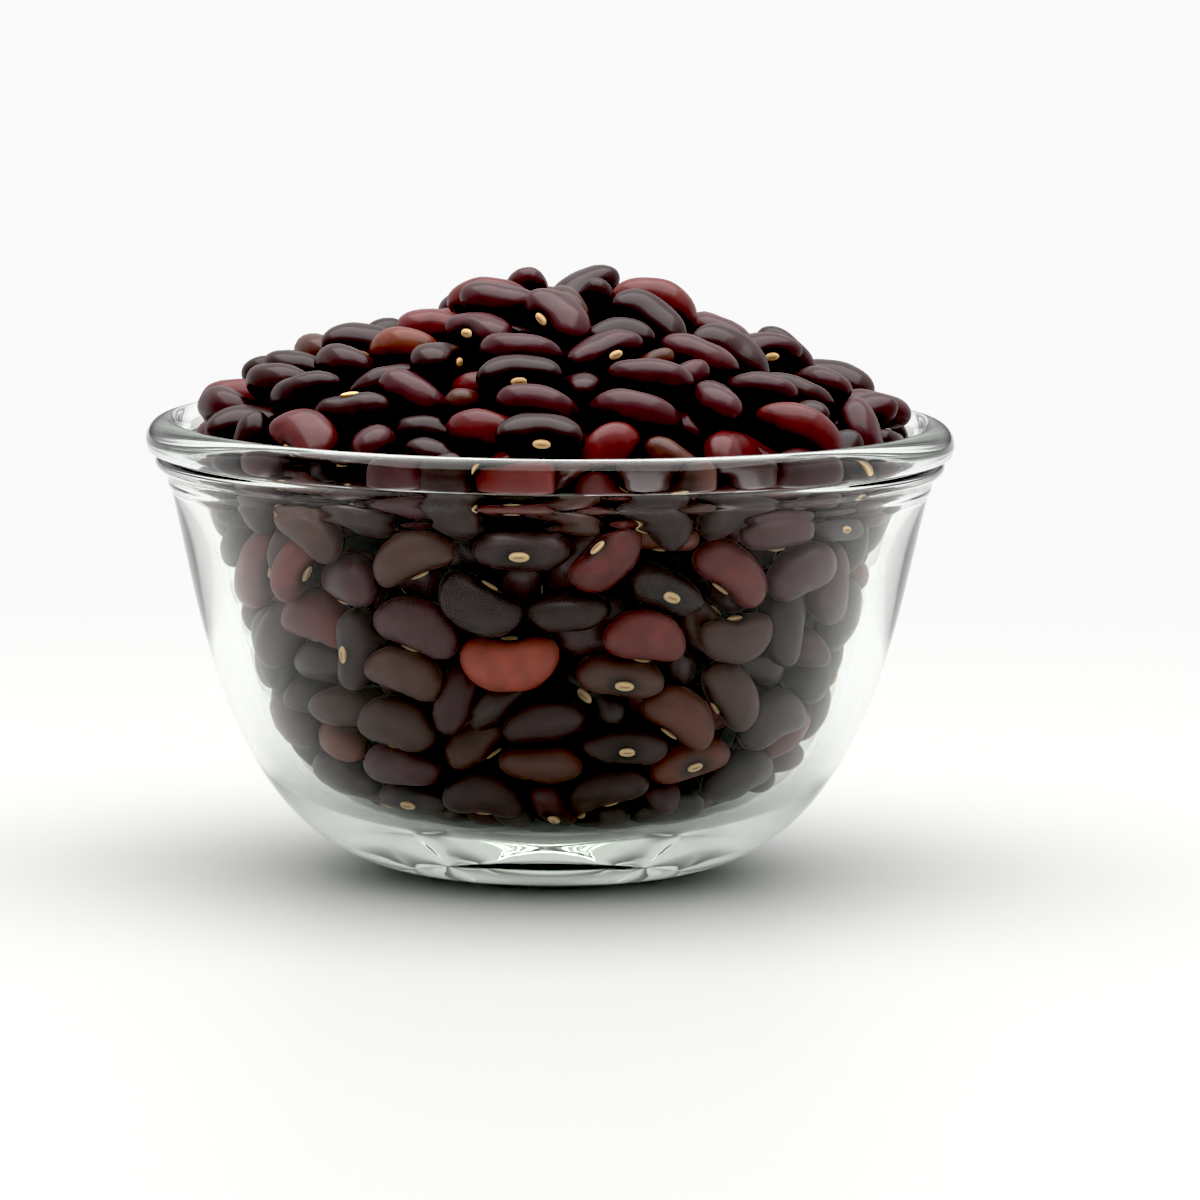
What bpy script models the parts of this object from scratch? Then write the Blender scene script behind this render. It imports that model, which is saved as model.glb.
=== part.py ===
"""A thick clear glass bowl, heaped with dried kidney beans.

Metres, +Z up. The origin is the middle of the foot, on the surface that the bowl stands on.
The front of the bowl faces -Y.
"""
import math

import bmesh
import bpy
import numpy as np

MM = 0.001

# The glass, by radius from the axis and height above the table
FOOT_RADIUS = 24.8 * MM
WALL_TOP = (70.5 * MM, 71.6 * MM)
WALL_RISE_AT_FOOT = math.radians(4.5)
WALL_LEAN_AT_TOP = math.radians(15)
WALL_HANDLES = (35.8 * MM, 21.5 * MM)
STEP_HEIGHT = 70.9 * MM
STEP_DEPTH = 0.35 * MM
RIDGE_CENTRE = (71.2 * MM, 75.9 * MM)
RIDGE_RADII = (2.1 * MM, 1.75 * MM)
RIDGE_ARC = (-75, 58)
BEAD_CENTRE = (71.3 * MM, 79.8 * MM)
BEAD_RADII = (3.7 * MM, 3.9 * MM)
BEAD_ARC = (-36, 190)
FLOOR_RADIUS = 16 * MM
FLOOR_HEIGHT = 7.4 * MM
INNER_TOP = (67.6 * MM, 78.2 * MM)
INNER_RISE_AT_FLOOR = math.radians(3)
INNER_LEAN_AT_TOP = math.radians(15)
INNER_HANDLES = (34 * MM, 61 * MM)
BOWL_SIDES = 48
INNER_POINTS = 9

# The heap, before single beans stand out of it
HEAP_TOP = 110.4 * MM
HEAP_DROP = 27 * MM
HEAP_RADIUS = 67 * MM
HEAP_POWER = 1.5
HOLLOW_AT = -30 * MM
HOLLOW_DEPTH = 3 * MM
HOLLOW_WIDTH = 9 * MM

# One bean
BEAN_LENGTH = 16.0 * MM
BEAN_WIDTH = 9.6 * MM
BEAN_THICKNESS = 7.4 * MM
BEAN_BEND = 1.3 * MM
BEAN_DENT = 0.14
BEAN_BLUNTNESS = 2.5
SIZE_SPREAD = 0.055

# Packing the beans
GAP_TO_GLASS = 0.45 * MM
PILE_SEED = 11
LAYERS = ((4.3 * MM, 7.8 * MM), (10.8 * MM, 9.0 * MM), (16.5 * MM, 9.2 * MM))
LAYER_TRIES = 20000
DEEPEST = 17 * MM
STAND_OUT = 2.2 * MM
SETTLING_STEPS = 300
PRESSING = 0.15 * MM
GRIP = (BEAN_LENGTH / 3) ** 2

# How easily a bean shifts across, back and up while the pile settles
FIRM_EASE = (0.003, 0.3, 0.003)
HELD_EASE = (0.03, 0.5, 0.03)
LOOSE_EASE = (1.0, 1.0, 1.0)

# The solid heap
FUSED_BEANS = 220
CORE_DEPTH = 5.6 * MM
SURFACE_SPOTS = 14000
SURFACE_DEPTHS = (1.0 * MM, 4.5 * MM)
CORE_SIDES = 16
BEAN_SIDES = 5
BEAN_RINGS = 3
BEAN_FULLNESS = 1.06

# The front view that the beans below were placed from: almost square on, a little above level
VIEW_TILT = math.radians(7)
VIEW_DISTANCE = 1.5
VIEW_SIDE = 9.5 * MM
VIEW_HEIGHT = 49.9 * MM
GLASS_INDEX = 1.5
SHOWN_NEARER = 0.95
SIGHT_STEP = 0.2 * MM

# Beans on the heap that show from the front: across and up in millimetres as seen, then in degrees
# the turn of the long axis, the roll about it (0 broad side, 90 eye to the front, -90 back to the
# front, 180 eye on top) and the yaw of its right end to the front, and the size against the usual
ON_THE_HEAP = [
    (-11.0, 106.7, -3, -60, 0, 1.05), (-9.5, 103.1, -3, -90, 0, 1.0), (1.3, 102.2, -30, 90, 50, 1.0),
    (5.8, 107.8, 25, 90, -50, 1.0), (-21.0, 99.6, 12, -90, 0, 1.0), (-13.2, 99.0, -3, 90, 50, 1.0),
    (-20.8, 93.3, 2, 90, -75, 1.0), (-28.1, 94.8, 5, -60, 45, 1.0), (-38.1, 91.1, -2, -60, 55, 1.0),
    (-34.8, 94.1, 0, 70, 10, 0.95), (-32.2, 97.3, 37, 90, -60, 0.9), (-50.8, 90.4, 0, -60, 0, 1.0),
    (-57.5, 87.2, 28, -60, 0, 1.05), (-47.1, 90.5, 0, -90, 30, 0.92), (-50.6, 87.9, 5, -80, 45, 1.0),
    (-46.5, 86.3, 25, -80, 45, 1.0), (-59.0, 84.4, 0, -60, 70, 1.0), (-57.3, 80.3, 0, 70, 0, 1.0),
    (-45.4, 79.2, -20, 60, 60, 1.02), (-32.4, 78.1, 10, 60, 70, 1.0), (-22.7, 79.4, 5, -60, 20, 1.0),
    (-11.0, 79.9, -10, -70, 0, 1.05), (-26.2, 87.4, -15, -70, 40, 1.0), (-29.2, 89.6, 15, -70, 0, 0.95),
    (-37.0, 82.9, 5, 180, 0, 1.0), (-12.8, 89.1, 0, -60, 30, 0.92), (-5.4, 93.9, -3, -80, 20, 1.0),
    (-4.5, 87.6, 0, 80, 0, 1.0), (-3.5, 84.4, -12, -70, 0, 1.0), (-2.6, 80.7, -10, 80, 0, 1.0),
    (18.8, 105.5, -18, -30, 0, 1.1), (18.4, 101.6, -32, 70, 20, 1.0), (9.5, 95.2, 14, 90, -35, 1.0),
    (27.7, 94.6, -22, -90, 0, 1.0), (30.9, 99.9, -10, -70, 45, 1.0), (37.4, 96.1, 0, 80, -30, 0.95),
    (44.5, 93.3, -42, -70, 0, 0.95), (52.6, 89.2, -12, 60, 0, 1.0), (50.8, 87.1, 0, -60, 60, 0.92),
    (17.9, 89.4, -6, -80, 0, 1.0), (15.6, 83.1, -14, -60, 0, 1.12), (24.4, 81.1, -10, -60, 50, 0.92),
    (29.6, 85.0, 0, -60, 80, 1.0), (38.3, 87.2, -10, -70, 40, 0.95), (48.0, 86.1, -12, -80, 0, 1.0),
    (46.7, 81.8, -25, -60, 0, 1.05), (56.4, 81.6, -35, -60, 40, 1.0), (56.9, 84.4, 0, 70, -30, 0.95),
    (62.5, 83.5, -8, -60, 30, 0.95), (61.2, 85.9, -10, -90, 0, 0.95), (4.8, 86.3, 0, 80, 60, 1.0),
]

# The same for beans that lie against the glass, as seen through it
BEHIND_THE_GLASS = [
    (-20.3, 74.8, 0, -30, 0, 1.0), (-6.5, 71.5, 0, 20, 30, 1.05), (10.8, 76.7, 60, 0, 0, 1.0),
    (35.5, 75.7, -3, 40, -30, 1.0), (3.9, 74.7, 0, -60, 0, 0.95), (-56.9, 63.1, 3, 70, -45, 1.0),
    (-44.5, 60.0, -25, 0, 0, 1.0), (-56.0, 54.7, 80, 0, 0, 1.0), (-48.5, 53.9, 60, 0, 0, 0.9),
    (-37.0, 50.4, -18, 0, 30, 1.0), (-25.9, 56.1, 20, 0, 0, 1.05), (-44.3, 44.1, -12, 0, 0, 1.05),
    (-25.7, 43.1, -20, 0, 0, 1.12), (-14.0, 47.8, -30, 180, 0, 1.05), (-4.5, 58.0, -2, 75, 0, 1.15),
    (-8.0, 37.3, 5, 180, 0, 1.18), (-40.7, 35.0, -3, -45, 0, 1.0), (-26.8, 34.9, -10, 0, 0, 1.0),
    (-43.2, 27.8, 0, 70, -45, 1.0), (-28.5, 24.8, -8, 0, 0, 1.0), (-12.8, 23.0, 35, 0, 0, 1.0),
    (-37.9, 21.0, 5, -60, 35, 1.0), (-27.3, 17.3, -5, -60, 0, 1.0), (-12.1, 12.8, 3, 0, 0, 1.0),
    (-24.9, 10.8, -5, 70, 0, 1.0), (-38.9, 14.1, -25, -60, 0, 1.0), (-53.4, 39.1, -65, 0, 0, 1.05),
    (-55.6, 48.0, -5, -45, 0, 1.0), (-36.1, 65.0, 0, -60, 0, 1.0), (-49.1, 26.1, -20, -30, 0, 1.0),
    (-10.0, 28.5, 5, -60, 0, 0.95), (10.8, 56.7, 42, 150, 0, 1.02), (21.6, 59.2, 0, 0, 0, 0.9),
    (34.6, 53.9, -35, 0, 0, 1.05), (21.6, 50.8, -22, 70, -20, 1.1), (18.2, 41.6, -8, 0, 0, 1.02),
    (35.2, 42.0, 3, 180, 0, 1.0), (4.8, 45.9, 15, -90, 0, 1.0), (43.9, 63.1, 0, 0, 0, 1.08),
    (53.2, 64.6, 0, 80, 0, 1.0), (57.8, 61.1, 65, -60, 0, 1.0), (54.1, 52.4, 80, 0, 0, 1.0),
    (56.4, 45.5, 50, -30, 0, 1.0), (46.7, 43.7, 60, 0, 0, 1.05), (53.4, 36.0, 20, 70, 0, 1.0),
    (41.1, 35.4, -5, -30, 0, 1.0), (16.4, 33.9, -40, 90, 0, 1.05), (34.2, 30.8, -65, 0, 0, 0.98),
    (25.3, 26.7, -30, 0, 0, 1.0), (8.6, 29.8, -35, 80, 35, 1.0), (14.1, 21.7, 0, 75, 0, 1.05),
    (26.6, 18.8, 12, 70, 0, 1.05), (42.0, 26.1, 30, 0, 0, 1.0), (44.8, 22.8, 25, -60, 0, 0.95),
    (36.5, 16.9, 15, -45, 0, 1.0), (9.5, 13.2, 0, 0, 0, 1.0), (24.4, 12.3, 5, -30, 0, 1.0),
    (2.0, 18.8, -8, -60, 0, 1.0), (1.1, 25.6, 10, -60, 0, 1.0), (35.5, 11.3, 0, -60, 0, 1.0),
]

# The most striking of them, by their place in each list, which the rest give way to
FIRM_ON_THE_HEAP = (0, 2, 3, 5, 6, 10, 17, 18, 21, 30, 31, 32, 33, 34, 40, 45)
FIRM_BEHIND_THE_GLASS = (1, 2, 3, 5, 7, 10, 11, 13, 14, 15, 24, 31, 33, 34, 35, 48, 50, 51)


def clear_scene():
    for thing in list(bpy.data.objects):
        bpy.data.objects.remove(thing, do_unlink=True)


def material(name, colour, roughness, metallic=0.0, alpha=1.0):
    made = bpy.data.materials.new(name)
    made.use_nodes = True
    shader = made.node_tree.nodes["Principled BSDF"]
    shader.inputs["Base Color"].default_value = (*colour, 1.0)
    shader.inputs["Roughness"].default_value = roughness
    shader.inputs["Metallic"].default_value = metallic
    shader.inputs["Alpha"].default_value = alpha
    return made


def cubic(start, start_handle, end_handle, end, count):
    """Points along a cubic curve, with both ends."""
    t = np.linspace(0, 1, count)[:, None]
    corners = [np.array(corner) for corner in (start, start_handle, end_handle, end)]
    weights = ((1 - t) ** 3, 3 * t * (1 - t) ** 2, 3 * t ** 2 * (1 - t), t ** 3)
    return sum(weight * corner for weight, corner in zip(weights, corners))


def arc(centre, radii, degrees, count):
    """Points along part of an ellipse, from the first angle to the second."""
    angles = np.radians(np.linspace(*degrees, count))
    return np.column_stack([centre[0] + radii[0] * np.cos(angles), centre[1] + radii[1] * np.sin(angles)])


def outer_wall(count):
    """The outside of the glass from the foot up to the step under the rim."""
    rise = (math.cos(WALL_RISE_AT_FOOT), math.sin(WALL_RISE_AT_FOOT))
    lean = (math.sin(WALL_LEAN_AT_TOP), math.cos(WALL_LEAN_AT_TOP))
    start = (FOOT_RADIUS, 0.0)
    start_handle = (FOOT_RADIUS + WALL_HANDLES[0] * rise[0], WALL_HANDLES[0] * rise[1])
    end_handle = (WALL_TOP[0] - WALL_HANDLES[1] * lean[0], WALL_TOP[1] - WALL_HANDLES[1] * lean[1])
    return cubic(start, start_handle, end_handle, WALL_TOP, count)


def inner_wall(count):
    """The inside of the glass from the edge of its flat floor up to the rim."""
    rise = (math.cos(INNER_RISE_AT_FLOOR), math.sin(INNER_RISE_AT_FLOOR))
    lean = (math.sin(INNER_LEAN_AT_TOP), math.cos(INNER_LEAN_AT_TOP))
    start = (FLOOR_RADIUS, FLOOR_HEIGHT)
    start_handle = (FLOOR_RADIUS + INNER_HANDLES[0] * rise[0], FLOOR_HEIGHT + INNER_HANDLES[0] * rise[1])
    end_handle = (INNER_TOP[0] - INNER_HANDLES[1] * lean[0], INNER_TOP[1] - INNER_HANDLES[1] * lean[1])
    return cubic(start, start_handle, end_handle, INNER_TOP, count)


def glass_profile():
    """The section of the glass, from the middle of the foot, round the rim, to the middle inside."""
    wall = outer_wall(10)
    wall[-1, 0] += STEP_DEPTH
    step = [(WALL_TOP[0] - STEP_DEPTH, STEP_HEIGHT)]
    ridge = arc(RIDGE_CENTRE, RIDGE_RADII, RIDGE_ARC, 4)
    bead = arc(BEAD_CENTRE, BEAD_RADII, BEAD_ARC, 7)
    inside = inner_wall(INNER_POINTS)[::-1]
    return np.vstack([[(0.0, 0.0)], wall[:-1], step, wall[-1:], ridge, bead, inside, [(0.0, FLOOR_HEIGHT)]])


def turned(name, profile, sides, look):
    """A closed body, from its section spun about the Z axis."""
    form = bmesh.new()
    corners = [form.verts.new((radius, 0.0, height)) for radius, height in profile]
    edges = [form.edges.new(pair) for pair in zip(corners, corners[1:])]
    bmesh.ops.spin(form, geom=corners + edges, cent=(0, 0, 0), axis=(0, 0, 1), angle=2 * math.pi,
                   steps=sides, use_merge=True)
    bmesh.ops.remove_doubles(form, verts=form.verts, dist=1e-6)
    bmesh.ops.recalc_face_normals(form, faces=form.faces)
    mesh = bpy.data.meshes.new(name)
    form.to_mesh(mesh)
    form.free()
    mesh.materials.append(look)
    made = bpy.data.objects.new(name, mesh)
    bpy.context.scene.collection.objects.link(made)
    return made


def heap_height(x, y):
    """Height of the heap's mean surface."""
    out = np.minimum(np.hypot(x, y) / HEAP_RADIUS, 1.2)
    hollow = HOLLOW_DEPTH * np.exp(-((x - HOLLOW_AT) / HOLLOW_WIDTH) ** 2)
    return HEAP_TOP - HEAP_DROP * out ** HEAP_POWER - hollow


def wall_line():
    """The inside of the glass as a line of points, drawn on straight up above the rim."""
    above = [(INNER_TOP[0], 3 * INNER_TOP[1])]
    return np.vstack([[(0.0, FLOOR_HEIGHT)], inner_wall(INNER_POINTS), above])


def depth_in_glass(points, line):
    """How far each point lies inside the glass, and the way in from the glass."""
    radius = np.hypot(points[:, 0], points[:, 1])
    flat = np.column_stack([radius, points[:, 2]])
    along = line[1:] - line[:-1]
    length = np.sqrt((along ** 2).sum(axis=1))
    way = along / length[:, None]
    offset = flat[:, None, :] - line[None, :-1, :]
    reach = np.clip((offset * way).sum(axis=2), 0, length)
    gap = offset - reach[:, :, None] * way
    inward = np.column_stack([-way[:, 1], way[:, 0]])
    away = np.sqrt((gap ** 2).sum(axis=2))
    nearest = away.argmin(axis=1)
    row = np.arange(len(points))
    depth = (gap[row, nearest] * inward[nearest]).sum(axis=1)
    normal = inward[nearest]
    safe = np.maximum(radius, 1e-9)
    way_in = np.column_stack([normal[:, 0] * points[:, 0] / safe, normal[:, 0] * points[:, 1] / safe,
                              normal[:, 1]])
    return depth, way_in


def depth_in_heap(points, lift=0.0):
    """How far each point lies under the heap's surface, and the way in from that surface."""
    step = 0.5 * MM
    x, y = points[:, 0], points[:, 1]
    slope_x = (heap_height(x + step, y) - heap_height(x - step, y)) / (2 * step)
    slope_y = (heap_height(x, y + step) - heap_height(x, y - step)) / (2 * step)
    way_in = np.column_stack([slope_x, slope_y, -np.ones(len(points))])
    steepness = np.sqrt((way_in ** 2).sum(axis=1))
    depth = (heap_height(x, y) + lift - points[:, 2]) / steepness
    return depth, way_in / steepness[:, None]


def turn_matrix(axis, angle):
    """A turn by an angle about a unit axis."""
    x, y, z = axis
    cross = np.array([[0, -z, y], [z, 0, -x], [-y, x, 0]])
    return np.eye(3) + math.sin(angle) * cross + (1 - math.cos(angle)) * cross @ cross


def seen_turn(turn, roll, yaw, round_wall=0.0):
    """A bean's axes from how it looks: long axis right, back up and broad side to the front at zero."""
    facing = np.array([[1.0, 0, 0], [0, 0, -1.0], [0, 1.0, 0]])
    rolled = facing @ turn_matrix((1, 0, 0), math.radians(-roll))
    turned_up = turn_matrix((0, -1, 0), math.radians(turn)) @ rolled
    yawed = turn_matrix((0, 0, 1), math.radians(-yaw)) @ turned_up
    return turn_matrix((0, 0, 1), round_wall) @ yawed


def view_ray(across, up):
    """Where a line of sight starts, and its direction, for a place in the front view."""
    away = np.array([0, math.cos(VIEW_TILT), -math.sin(VIEW_TILT)])
    eye = np.array([VIEW_SIDE, 0, VIEW_HEIGHT]) - VIEW_DISTANCE * away
    aim = np.array([across, up * math.sin(VIEW_TILT), up * math.cos(VIEW_TILT)])
    return eye, (aim - eye) / np.linalg.norm(aim - eye)


def place_on_heap(across, up):
    """The centre of a bean on the heap's surface that shows at a place in the front view."""
    eye, sight = view_ray(across, up)
    reach = VIEW_DISTANCE - 90 * MM
    while reach < VIEW_DISTANCE + 60 * MM:
        point = eye + reach * sight
        under = depth_in_heap(point[None])[0][0]
        if under > 0.3 * BEAN_THICKNESS and math.hypot(point[0], point[1]) < INNER_TOP[0] - 3 * MM:
            return point
        reach += 0.5 * MM
    crest = eye + (VIEW_DISTANCE / math.cos(VIEW_TILT)) * sight
    return np.array([crest[0], 0.0, min(crest[2], heap_height(crest[0], 0.0))])


def march(point, way, wall):
    """Follows a line of sight to a turned wall, or to where it passes nearest to the axis."""
    while math.hypot(point[0], point[1]) > np.interp(point[2], wall[:, 1], wall[:, 0]):
        if point[:2] @ way[:2] > 0:
            break
        point = point + SIGHT_STEP * way
    return point


def bend(point, way, wall, ratio):
    """The direction of a line of sight past a turned wall of glass."""
    step = 0.5 * MM
    radii = np.interp((point[2] - step, point[2] + step), wall[:, 1], wall[:, 0])
    normal = np.array([point[0], point[1], -math.hypot(point[0], point[1]) * (radii[1] - radii[0]) / (2 * step)])
    normal /= np.linalg.norm(normal)
    facing = -way @ normal
    straight = 1 - ratio ** 2 * (1 - facing ** 2)
    if straight <= 0 or facing <= 0:
        return way
    return ratio * way + (ratio * facing - math.sqrt(straight)) * normal


def place_behind_glass(across, up, line):
    """The centre of a bean that touches the glass, and its angle round the bowl, from how it shows."""
    eye, way = view_ray(across, up)
    point = eye + (VIEW_DISTANCE - 100 * MM) * way
    for wall, ratio in ((outer_wall(40), 1 / GLASS_INDEX), (line[1:], GLASS_INDEX)):
        point = march(point, way, wall)
        way = bend(point, way, wall, ratio)
    for step in range(40):
        depth, way_in = depth_in_glass(point[None], line)
        if depth[0] > 0.35 * BEAN_THICKNESS or point[:2] @ way[:2] > 0:
            break
        point = point + SIGHT_STEP * way
    angle = math.atan2(point[0], -point[1])
    return point + way_in[0] * (0.5 * BEAN_THICKNESS + GAP_TO_GLASS - depth[0]), angle


def lying_flat(normal, draw, wobble):
    """A bean's axes when its broad side lies near a surface, turned at random."""
    normal = normal + wobble * draw.normal(size=3)
    thin = normal / np.linalg.norm(normal)
    spare = draw.normal(size=3)
    long_axis = np.cross(thin, spare)
    long_axis /= np.linalg.norm(long_axis)
    return np.column_stack([long_axis, np.cross(thin, long_axis), thin])


class Pile:
    """Every bean: its centre, its axes as columns, its size, and how easily it shifts."""

    def __init__(self):
        self.centre, self.axes, self.size, self.ease, self.lift = [], [], [], [], []

    def add(self, centre, axes, size, ease, lift):
        self.centre.append(centre)
        self.axes.append(axes)
        self.size.append(size)
        self.ease.append(ease)
        self.lift.append(lift)

    def freeze(self):
        self.centre, self.axes = np.array(self.centre), np.array(self.axes)
        self.size, self.ease = np.array(self.size), np.array(self.ease)
        self.lift = np.array(self.lift)


def place_beans(line, draw):
    """The beans that show from the front, then the rest of the outer layers at random."""
    pile = Pile()
    for place, (across, up, turn, roll, yaw, size) in enumerate(ON_THE_HEAP):
        centre = place_on_heap(across * MM, up * MM)
        ease = FIRM_EASE if place in FIRM_ON_THE_HEAP else HELD_EASE
        pile.add(centre, seen_turn(turn, roll, yaw), size, ease, 2 * STAND_OUT)
    for place, (across, up, turn, roll, yaw, size) in enumerate(BEHIND_THE_GLASS):
        centre, angle = place_behind_glass(across * MM, up * MM, line)
        ease = FIRM_EASE if place in FIRM_BEHIND_THE_GLASS else HELD_EASE
        pile.add(centre, seen_turn(turn, roll, yaw, 0.85 * angle), size * SHOWN_NEARER, ease, 0.0)
    for depth, spacing in LAYERS:
        spot = draw.uniform(-1, 1, (LAYER_TRIES, 3)) * INNER_TOP[0]
        spot[:, 2] = draw.uniform(FLOOR_HEIGHT, HEAP_TOP, LAYER_TRIES)
        in_glass, from_glass = depth_in_glass(spot, line)
        in_heap, from_heap = depth_in_heap(spot)
        normal = np.where((in_glass < in_heap)[:, None], from_glass, from_heap)
        off = depth - np.minimum(in_glass, in_heap)
        spot += normal * off[:, None]
        for index in np.nonzero(np.abs(off) < 2.5 * MM)[0]:
            if np.linalg.norm(np.array(pile.centre) - spot[index], axis=1).min() < spacing:
                continue
            size = float(np.clip(draw.normal(1.0, SIZE_SPREAD), 0.88, 1.14))
            axes = lying_flat(normal[index], draw, 0.3)
            pile.add(spot[index], axes, size, LOOSE_EASE, draw.uniform(0, STAND_OUT))
    pile.freeze()
    return pile


def ball_places():
    """Balls that fill one usual bean, for keeping beans apart."""
    end = (BEAN_LENGTH - BEAN_THICKNESS) / 2
    side = (BEAN_WIDTH - BEAN_THICKNESS) / 2
    return np.array([(x, y - BEAN_BEND * (x / end) ** 2 * 0.6 + 0.3 * BEAN_BEND, 0.0)
                     for x in (-end, 0.0, end) for y in (-side, side)])


def give(pile, rows, arm, normal):
    """How readily each bean moves away along the normal of a contact."""
    spin = np.cross(arm, normal)
    ease = pile.ease[rows]
    return (normal ** 2 * ease).sum(axis=1) + ease[:, 1] * (spin ** 2).sum(axis=1) / GRIP


def shift(pile, rows, arm, normal, opening):
    """Moves and turns beans so that each given contact opens by a distance."""
    spin = np.cross(arm, normal)
    push = opening / give(pile, rows, arm, normal)
    ease = pile.ease[rows]
    return push[:, None] * normal * ease, push[:, None] * spin * ease[:, :1] / GRIP


def settle(pile, line, draw):
    """Pushes overlapping beans apart inside the glass and the heap, a little at a time."""
    balls = ball_places()[None] * pile.size[:, None, None]
    radius = 0.5 * BEAN_THICKNESS * pile.size
    count = len(pile.size)
    for step in range(SETTLING_STEPS):
        if step % 10 == 0:
            apart = np.linalg.norm(pile.centre[:, None] - pile.centre[None], axis=2)
            first, second = np.nonzero(np.triu(apart < 1.15 * BEAN_LENGTH, 1))
        arms = np.einsum("nij,nkj->nki", pile.axes, balls)
        places = pile.centre[:, None] + arms
        between = places[first][:, :, None] - places[second][:, None]
        distance = np.sqrt((between ** 2).sum(axis=3)).reshape(len(first), -1)
        closest = distance.argmin(axis=1)
        row = np.arange(len(first))
        overlap = radius[first] + radius[second] - distance[row, closest]
        hit = overlap > 0
        row, closest, overlap = row[hit], closest[hit], overlap[hit]
        one, two = first[hit], second[hit]
        one_ball, two_ball = closest // balls.shape[1], closest % balls.shape[1]
        normal = between[row, one_ball, two_ball] / np.maximum(distance[row, closest], 1e-9)[:, None]
        move, turn = np.zeros((count, 3)), np.zeros((count, 3))
        give_one = give(pile, one, arms[one, one_ball], normal)
        share = give_one / (give_one + give(pile, two, arms[two, two_ball], normal))
        for rows, ball, way, part in ((one, one_ball, normal, share), (two, two_ball, -normal, 1 - share)):
            pushed, spun = shift(pile, rows, arms[rows, ball], way, 0.44 * part * overlap)
            np.add.at(move, rows, pushed)
            np.add.at(turn, rows, spun)
        flat = places.reshape(-1, 3)
        owner = np.repeat(np.arange(count), balls.shape[1])
        flat_arms = arms.reshape(-1, 3)
        limits = ((*depth_in_glass(flat, line), GAP_TO_GLASS, 0.35),
                  (*depth_in_heap(flat, pile.lift[owner]), 0.0, 0.12))
        for depth, way_in, gap, share in limits:
            outside = radius[owner] + gap - depth
            out = outside > 0
            pushed, spun = shift(pile, owner[out], flat_arms[out], way_in[out], share * outside[out])
            np.add.at(move, owner[out], pushed)
            np.add.at(turn, owner[out], spun)
        in_glass, from_glass = depth_in_glass(pile.centre, line)
        in_heap, from_heap = depth_in_heap(pile.centre)
        by_glass = (in_glass < in_heap)[:, None]
        outward = -np.where(by_glass, from_glass, from_heap)
        sunk = np.clip(np.minimum(in_glass, in_heap) - DEEPEST, 0, None)
        pressing = PRESSING * max(0.0, 1 - step / (0.8 * SETTLING_STEPS))
        move += outward * (pressing + 0.3 * sunk)[:, None] * pile.ease
        move += pressing * draw.normal(size=(count, 3)) * pile.ease
        pile.centre = pile.centre + move
        for index, angle in enumerate(np.linalg.norm(turn, axis=1)):
            if angle > 1e-7:
                pile.axes[index] = turn_matrix(turn[index] / angle, min(angle, 0.2)) @ pile.axes[index]
    pile.centre = np.round(pile.centre, 6)
    pile.axes = np.round(pile.axes, 5)


def bean_surface(rings, sides):
    """Corners and faces of one usual bean: long axis X, back +Y, eye in the middle of its -Y edge."""
    corners = [(-BEAN_LENGTH / 2, -BEAN_BEND, 0.0)]
    for ring in range(1, rings + 1):
        along = -math.cos(math.pi * ring / (rings + 1))
        girth = (1 - abs(along) ** BEAN_BLUNTNESS) ** 0.5
        for side in range(sides):
            angle = 2 * math.pi * side / sides
            across = 0.5 * BEAN_WIDTH * girth * math.cos(angle)
            if across < 0:
                across *= 1 - BEAN_DENT * (1 - along ** 2)
            corners.append((0.5 * BEAN_LENGTH * along, across - BEAN_BEND * along ** 2 + 0.3 * BEAN_BEND,
                            0.5 * BEAN_THICKNESS * girth * math.sin(angle)))
    corners.append((BEAN_LENGTH / 2, -BEAN_BEND, 0.0))
    faces = []
    last = len(corners) - 1
    for side in range(sides):
        after = (side + 1) % sides
        faces.append((0, 1 + after, 1 + side))
        for ring in range(rings - 1):
            low, high = 1 + ring * sides, 1 + (ring + 1) * sides
            faces.append((low + side, low + after, high + after, high + side))
        faces.append((last, last - sides + side, last - sides + after))
    return np.array(corners), faces


def way_clear_of_glass(places, line):
    """The shift that brings a bean's corners clear of the inside of the glass."""
    shift_in = np.zeros(3)
    for repeat in range(3):
        depth, way_in = depth_in_glass(places + shift_in, line)
        closest = depth.argmin()
        shift_in = shift_in + way_in[closest] * max(0.0, GAP_TO_GLASS - depth[closest])
    return shift_in


def core_profile():
    """The section of the solid middle of the heap, that the beans are fused to."""
    bottom = [(0.0, FLOOR_HEIGHT + CORE_DEPTH)]
    wall = []
    for radius, height in inner_wall(7):
        point = np.array([[radius, 0.0, height]])
        depth, way_in = depth_in_glass(point, wall_line())
        inside = point + way_in * (CORE_DEPTH - depth)[:, None]
        wall.append((inside[0, 0], inside[0, 2]))
    out = np.linspace(0.93, 0.0, 6) * HEAP_RADIUS
    top = [(radius, float(heap_height(0.0, radius)) - CORE_DEPTH) for radius in out]
    top[-1] = (0.0, top[-1][1])
    return np.vstack([bottom, wall[1:], top])


def fuse(core, beans):
    """Joins the beans to the core as one closed body, without sealed hollows or loose scraps."""
    group = bpy.data.collections.new("beans_to_fuse")
    bpy.context.scene.collection.children.link(group)
    for bean in beans:
        group.objects.link(bean)
    union = core.modifiers.new("fuse", "BOOLEAN")
    union.operation = "UNION"
    union.operand_type = "COLLECTION"
    union.collection = group
    union.solver = "EXACT"
    bpy.context.view_layer.update()
    joined = bpy.data.meshes.new_from_object(core.evaluated_get(bpy.context.evaluated_depsgraph_get()))
    core.modifiers.clear()
    core.data = joined
    for bean in beans:
        bpy.data.objects.remove(bean, do_unlink=True)
    bpy.data.collections.remove(group)
    keep_largest_shell(joined)


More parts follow.
